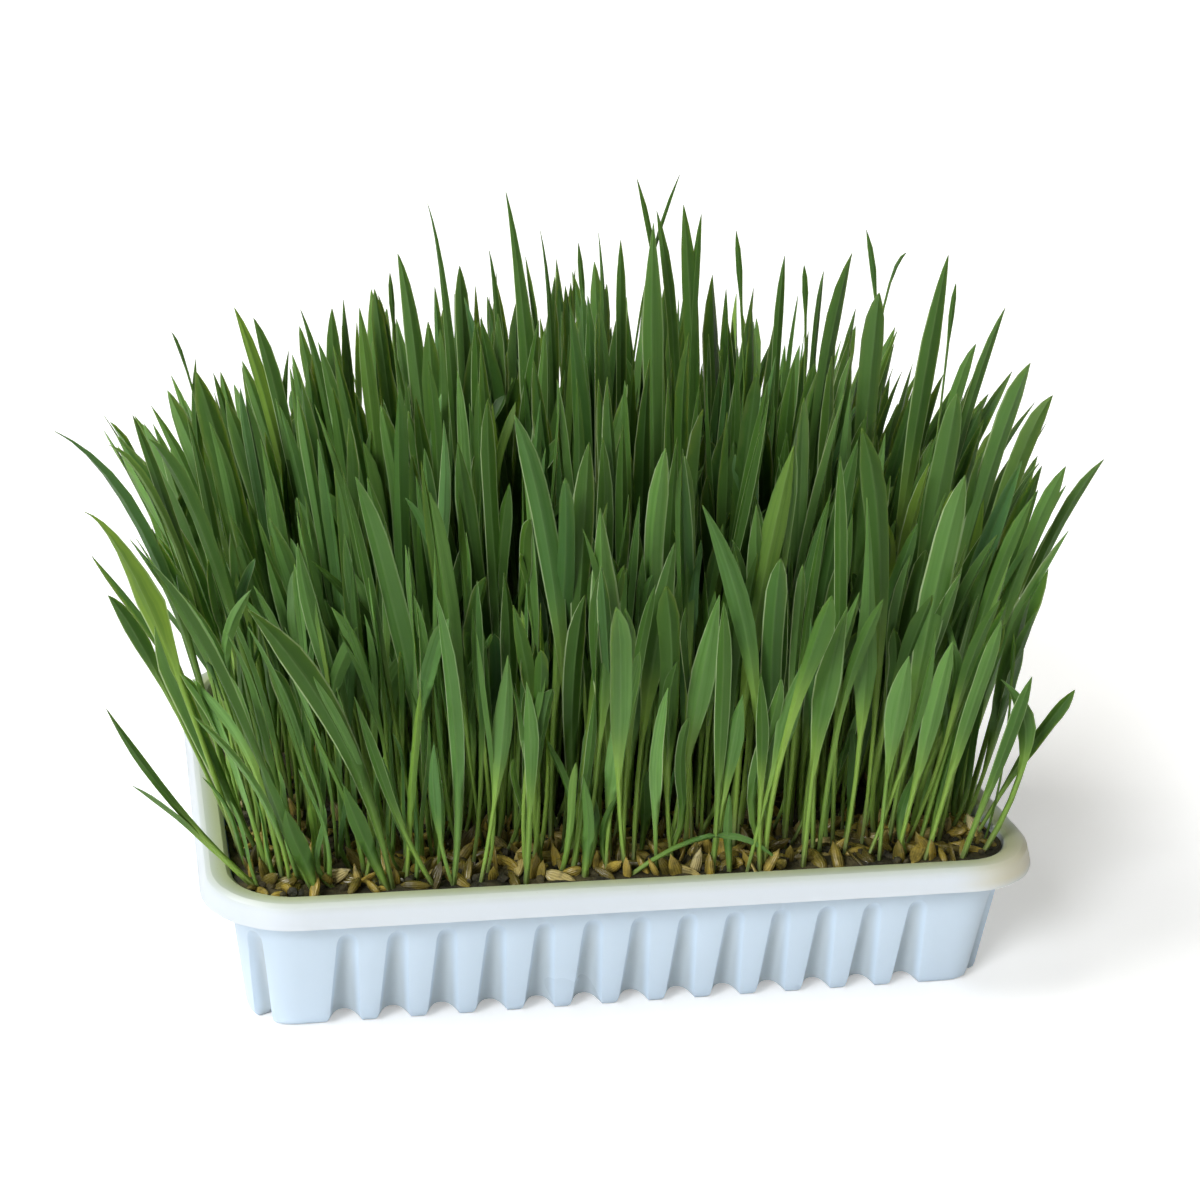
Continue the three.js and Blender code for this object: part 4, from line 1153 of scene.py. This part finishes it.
# %% The single shoots
SINGLE_SHOOTS = [
    (-83, -58, -100, 53, -114, -62, 77, 2, "thin", 0.55, 0.35),
    (-84, -57, -97, 47, -109, -61, 59, 4, "paddle", 0.75, 0.7),
    (-72, -60, -90, 80, -105, -62, 108, 4.5, "strap", 0.55, 0.12),
    (-71, -63, -75, 44, -78, -63, 53, 4, "low", 0.45, 0.4),
    (-72, -61, -78, 48, -84, -61, 67, 3, "low", 0.4, 0.55),
    (-81, -40, -95, 62, -103, -44, 88, 4.5, "strap", 0.4, 0.75),
    (-55, -63, -67, 71, -86, -65, 98, 5.5, "strap", 0.62, 0.15),
    (-56, -63, -62, 47, -66, -63, 58, 3.5, "low", 0.35, 0.45),
    (-46, -63, -56, 54, -64, -63, 78, 2.5, "thin", 0.4, 0.5),
    (-42, -63, -46, 49, -47, -63, 67, 3, "lens", 0.1, 0.85),
    (-42, -63, -42, 66, -48, -61, 100, 3.5, "strap", 0.2, 0.85),
    (-36, -63, -33, 60, -32, -63, 86, 4.5, "lens", 0.25, 1),
    (-26, -63, -26, 57, -28, -63, 80, 3.5, "lens", 0.3, 0.9),
    (-13, -63, -13, 45, -14, -63, 58, 2.5, "low", 0.45, 0.85),
    (-15, -60, -13, 54, -12, -58, 75, 2, "thin", 0.6, 0.4),
    (-12, -57, -10, 75, -12, -57, 116, 6.5, "vee", 0.35, 0.85),
    (-13, -52, -15, 70, -13, -49, 94, 4.5, "strap", 0.62, 0.15),
    (-3, -57, -3, 72, 1, -55, 98, 2.5, "blade", 0.45, 0.5),
    (0, -55, 1, 73, 6, -51, 106, 6, "lens", 0.6, 0.35),
    (8, -55, 11, 64, 15, -57, 96, 5.5, "lens", 0.3, 1),
    (16, -63, 16, 64, 14, -61, 96, 3.5, "blade", 0.4, 0.5),
    (16, -62, 18, 56, 20, -62, 75, 4, "lens", 0.25, 0.85),
    (20, -63, 19, 43, 18, -63, 52, 2, "low", 0.5, 0.8),
    (28, -59, 23, 79, 10, -56, 116, 5, "lens", 0.2, 0.7),
    (27, -63, 25, 58, 24, -63, 80, 3, "lens", 0.4, 0.3),
    (24, -63, 29, 61, 34, -63, 85, 5, "lens", 0.35, 1),
    (37, -63, 38, 65, 41, -63, 95, 5.5, "lens", 0.45, 0.75),
    (41, -58, 39, 62, 37, -54, 89, 2.5, "thin", 0.1, 0.45),
    (48, -59, 49, 76, 45, -59, 118, 5.5, "spear", 0.3, 0.85),
    (55, -63, 55, 62, 57, -63, 83, 5.5, "lens", 0.3, 1),
    (53, -61, 60, 61, 63, -61, 89, 2, "thin", 0.5, 0.6),
    (59, -63, 63, 62, 67, -63, 86, 4, "blade", 0.4, 0.95),
    (66, -63, 72, 64, 77, -63, 91, 3.5, "blade", 0.5, 0.8),
    (66, -58, 73, 68, 81, -56, 103, 2, "thin", 0.75, 0.7),
    (75, -63, 81, 56, 87, -63, 77, 3, "blade", 0.3, 0.55),
    (82, -59, 89, 58, 81, -59, 75, 4.5, "lens", 0.35, 0.8),
    (83, -51, 94, 53, 104, -49, 68, 3.5, "blade", 0.65, 0.3),
    (83, -56, 86, 57, 85, -54, 85, 1, "wisp", 0.5, 0.05),
    (-3, -63, 17, 42, 33, -63, 33, 1.5, "arch", 0.4, 0.75),
    (16, -46, 11, 91, 9, -43, 123, 4.5, "blade", 0.4, 0.7),
    (25, -49, 26, 82, 32, -46, 126, 5, "blade", 0.8, 0.6),
    (47, -54, 44, 83, 42, -51, 125, 3, "blade", 0.5, 0.5),
    (54, -54, 53, 92, 45, -51, 131, 5.5, "blade", 0.6, 0.12),
    (36, -52, 37, 78, 40, -50, 118, 2, "thin", 0.65, 0.3),
    (61, -53, 65, 82, 71, -50, 120, 6.5, "blade", 0.35, 0.8),
    (-51, -39, -66, 70, -73, -37, 103, 3.5, "blade", 0.3, 0.8),
    (-41, -41, -51, 81, -62, -39, 118, 5.5, "strap", 0.25, 0.75),
    (-46, -41, -56, 81, -64, -37, 119, 2.5, "thin", 0.6, 0.1),
    (-32, -42, -40, 81, -46, -40, 115, 4.5, "blade", 0.7, 0.75),
    (-32, -25, -50, 69, -69, -25, 95, 2.5, "strap", 0.6, 0.3),
    (-12, -45, -18, 91, -29, -42, 132, 5, "blade", 0.15, 0.6),
    (-14, -45, -13, 91, -12, -42, 126, 5, "blade", 0.65, 0.5),
    (-28, -41, -27, 67, -29, -39, 96, 4, "thin", 0.6, 0.12),
    (-22, -27, -32, 85, -38, -27, 122, 4.5, "strap", 0.3, 0.7),
    (-86, -32, -101, 95, -123, -38, 128, 3.5, "taper", 0.15, 0.3),
    (-85, -42, -104, 90, -117, -48, 114, 6.5, "spear", 1, 1),
    (-86, -27, -103, 71, -113, -31, 90, 4, "lens", 0.62, 0.2),
    (-80, -25, -96, 92, -107, -25, 128, 2.5, "blade", 0.5, 0.25),
    (-81, -27, -97, 96, -112, -27, 122, 2, "blade", 0.8, 0.75),
    (-74, -33, -90, 96, -104, -33, 125, 4, "blade", 0.62, 0.35),
    (-83, -16, -95, 81, -105, -16, 110, 1, "wisp", 0.4, 0.15),
    (-82, -15, -93, 80, -102, -15, 108, 1, "wisp", 0.4, 0.1),
    (-85, -19, -97, 77, -104, -19, 101, 1, "wisp", 0.4, 0.1),
    (-78, -11, -89, 91, -95, -11, 124, 2.5, "taper", 0.55, 0.25),
    (-76, -3, -90, 95, -93, 1, 134, 2.5, "taper", 0.5, 0.25),
    (-76, -3, -89, 107, -98, 1, 140, 1, "wisp", 0.4, 0.05),
    (-69, -15, -83, 95, -93, -11, 134, 6, "blade", 0.55, 0.6),
    (-70, -4, -81, 95, -89, 0, 131, 2, "blade", 0.5, 0.2),
    (-66, -10, -78, 94, -83, -6, 129, 2.5, "blade", 0.1, 0.3),
    (-63, -10, -75, 92, -82, -6, 127, 3.5, "blade", 0.55, 0.25),
    (-59, 0, -72, 103, -84, 8, 144, 3, "blade", 0.9, 0.75),
    (-58, -2, -70, 103, -80, 6, 142, 3.5, "blade", 0.5, 0.25),
    (-62, 1, -72, 95, -72, 5, 135, 1.5, "blade", 0.5, 0.1),
    (-51, -1, -60, 105, -69, 7, 144, 2.5, "taper", 0.5, 0.35),
    (-49, 0, -59, 105, -62, 8, 144, 3.5, "blade", 0.6, 0.4),
    (-47, 3, -56, 106, -59, 13, 145, 3, "taper", 0.5, 0.35),
    (-43, -4, -52, 108, -56, 4, 145, 3.5, "taper", 0.75, 0.6),
    (-39, 0, -47, 109, -52, 10, 148, 3.5, "blade", 0.4, 0.4),
    (-38, 5, -45, 110, -48, 15, 151, 1.5, "wisp", 0.4, 0.05),
    (-33, -3, -41, 115, -48, 5, 157, 4.5, "taper", 0.6, 0.65),
    (-27, 0, -34, 121, -41, 8, 168, 3, "spear", 0.4, 0.4),
    (-25, 3, -30, 113, -32, 13, 153, 3.5, "blade", 0.4, 0.4),
    (-16, 2, -21, 116, -26, 12, 157, 2, "taper", 0.4, 0.1),
    (-12, -5, -17, 123, -24, 1, 172, 5, "spear", 0.6, 0.45),
    (-5, 1, -10, 116, -14, 11, 162, 2.5, "spear", 0.3, 0.4),
    (-8, 5, -11, 110, -10, 13, 150, 3.5, "taper", 0.5, 0.3),
    (2, -2, -2, 112, -6, 6, 160, 1.5, "wisp", 0.4, 0.1),
    (5, -6, 1, 115, -3, 2, 163, 3, "spear", 0.45, 0.45),
    (10, 0, 6, 114, 5, 10, 160, 2.5, "blade", 0.5, 0.35),
    (17, -1, 17, 114, 6, 5, 175, 1.5, "wisp", 0.4, 0.05),
    (17, -8, 12, 116, 9, -2, 166, 5, "taper", 0.45, 0.65),
    (15, 2, 8, 118, 17, 8, 176, 1, "wisp", 0.4, 0.05),
    (21, -4, 18, 117, 12, 4, 168, 2.5, "blade", 0.5, 0.4),
    (24, -8, 21, 118, 17, 0, 170, 3.5, "blade", 0.55, 0.3),
    (25, -8, 20, 121, 21, 0, 168, 2, "blade", 0.5, 0.2),
    (38, -6, 35, 115, 30, 2, 164, 1.5, "wisp", 0.3, 0.1),
    (46, -4, 42, 115, 43, 4, 158, 2, "blade", 0.4, 0.2),
    (51, -5, 49, 115, 48, 3, 156, 1.5, "wisp", 0.4, 0.05),
    (53, -2, 51, 114, 54, 6, 154, 1.5, "blade", 0.4, 0.1),
    (51, -14, 49, 115, 55, -8, 161, 3.5, "blade", 0.45, 0.3),
    (67, -9, 66, 116, 60, -1, 165, 1.5, "wisp", 0.2, 0.1),
    (68, -6, 65, 125, 71, 0, 160, 1, "wisp", 0.4, 0.05),
    (63, -15, 61, 113, 62, -9, 152, 5.5, "blade", 0.45, 0.6),
    (69, -14, 73, 117, 78, -10, 161, 4.5, "taper", 0.5, 0.35),
    (74, -16, 78, 111, 80, -12, 155, 1.5, "wisp", 0.4, 0.1),
    (73, -22, 79, 108, 89, -20, 151, 2.5, "blade", 0.4, 0.35),
    (71, -24, 75, 106, 82, -22, 143, 3, "blade", 0.5, 0.7),
    (67, -31, 72, 99, 76, -29, 133, 5.5, "blade", 0.5, 0.6),
    (74, -29, 83, 101, 93, -29, 140, 5.5, "blade", 0.3, 0.75),
    (77, -28, 89, 99, 100, -28, 132, 4.5, "blade", 0.75, 0.45),
    (78, -32, 86, 89, 96, -32, 118, 1.5, "thin", 0.5, 0.1),
    (80, -39, 89, 86, 99, -41, 119, 4, "blade", 0.5, 0.8),
    (84, -33, 97, 87, 111, -35, 119, 3, "blade", 0.7, 0.35),
    (74, -45, 80, 82, 89, -47, 114, 3, "blade", 0.5, 0.6),
]
print("single shoots:", len(SINGLE_SHOOTS))

# %% Placing and growing
SHOOT_GRID_X, SHOOT_GRID_Y = 6, 5
MISSING, MISSING_IN_FRONT, MISSING_AT_LEFT = 0.15, 0.56, 0.22  # share of the places where no shoot came up
FEWER_MISSING_FRONT_LEFT = 0.2
BARE_CORNER = 128  # none has where x - y is greater, in the front right corner


def add_single_shoot(bm, growth_of, rng, shoot):
    """Adds one listed shoot, whose curve passes through the middle that is given."""
    foot_x, foot_y, middle_x, middle_z, tip_x, tip_y, tip_z, width, kind, tone, light = shoot
    foot = Vector((foot_x, foot_y, soil_height(foot_x, foot_y) - 0.5))
    middle = Vector((middle_x, foot_y + 0.4 * (tip_y - foot_y), middle_z))
    tip = Vector((tip_x, tip_y, tip_z))
    pull = 2 * middle - (foot + tip) / 2
    curve = [foot, foot.lerp(pull, 2 / 3), tip.lerp(pull, 2 / 3), tip]
    facing = -0.24 + rng.gauss(0, 0.25)  # towards the front left
    shape = leaf_shape(rng, curve=curve, width=width, tone=tone, light=light, facing=facing)
    shape |= {"twist": rng.gauss(0, 0.25), "sway": rng.uniform(0, 0.8)}
    add_leaf(bm, shape | KINDS[kind], growth_of)


def share_missing(row, x):
    """Share of a tuft's places where no shoot came up."""
    if row == 0:
        return MISSING_IN_FRONT - FEWER_MISSING_FRONT_LEFT * to_the_left(x)
    return MISSING + MISSING_AT_LEFT * to_the_left(x)


def cell_of(shoot):
    """The tuft (row, column) in whose cell of the bed a listed shoot stands."""
    column, row = shoot[0] / TUFT_SPACING_X + TUFT_COLUMNS / 2, shoot[1] / TUFT_SPACING_Y + TUFT_ROWS / 2
    return clamp(row // 1, 0, TUFT_ROWS - 1), clamp(column // 1, 0, TUFT_COLUMNS - 1)


print("the first single shoot stands in the cell", cell_of(SINGLE_SHOOTS[0]))

# %% Grow the tufts
rng = random.Random(23)
leaf_total = 0
for row in range(TUFT_ROWS):
    for column in range(TUFT_COLUMNS):
        name = f"{'abcdef'[row]}{column + 1}"
        middle = Vector(((column - 3.5) * TUFT_SPACING_X, (row - 2.5) * TUFT_SPACING_Y, 0))
        bm, growth_of = new_tuft_bmesh()
        for i in range(SHOOT_GRID_X * SHOOT_GRID_Y):
            if rng.random() < share_missing(row, middle.x):
                continue
            cell_x, cell_y = i % SHOOT_GRID_X + rng.random(), i // SHOOT_GRID_X + rng.random()
            offset = Vector((
                (cell_x / SHOOT_GRID_X - 0.5) * TUFT_SPACING_X,
                (cell_y / SHOOT_GRID_Y - 0.5) * TUFT_SPACING_Y,
                0,
            ))
            x, y = middle.x + offset.x, middle.y + offset.y
            if x - y <= BARE_CORNER:
                add_shoot(bm, growth_of, rng, x, y, offset)
        for shoot in SINGLE_SHOOTS:
            if cell_of(shoot) == (row, column):
                add_single_shoot(bm, growth_of, rng, shoot)
        leaf_total += len(bm.faces) // BLANK_FACES
        lay_out_bake(bm)
        tuft = object_from(bm, f"shoots_{name}", leaf_green)
        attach(tuft, "root")
        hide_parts(f"tuft_{name}")
print("leaves in all:", leaf_total, "in", TUFT_ROWS * TUFT_COLUMNS, "tufts")
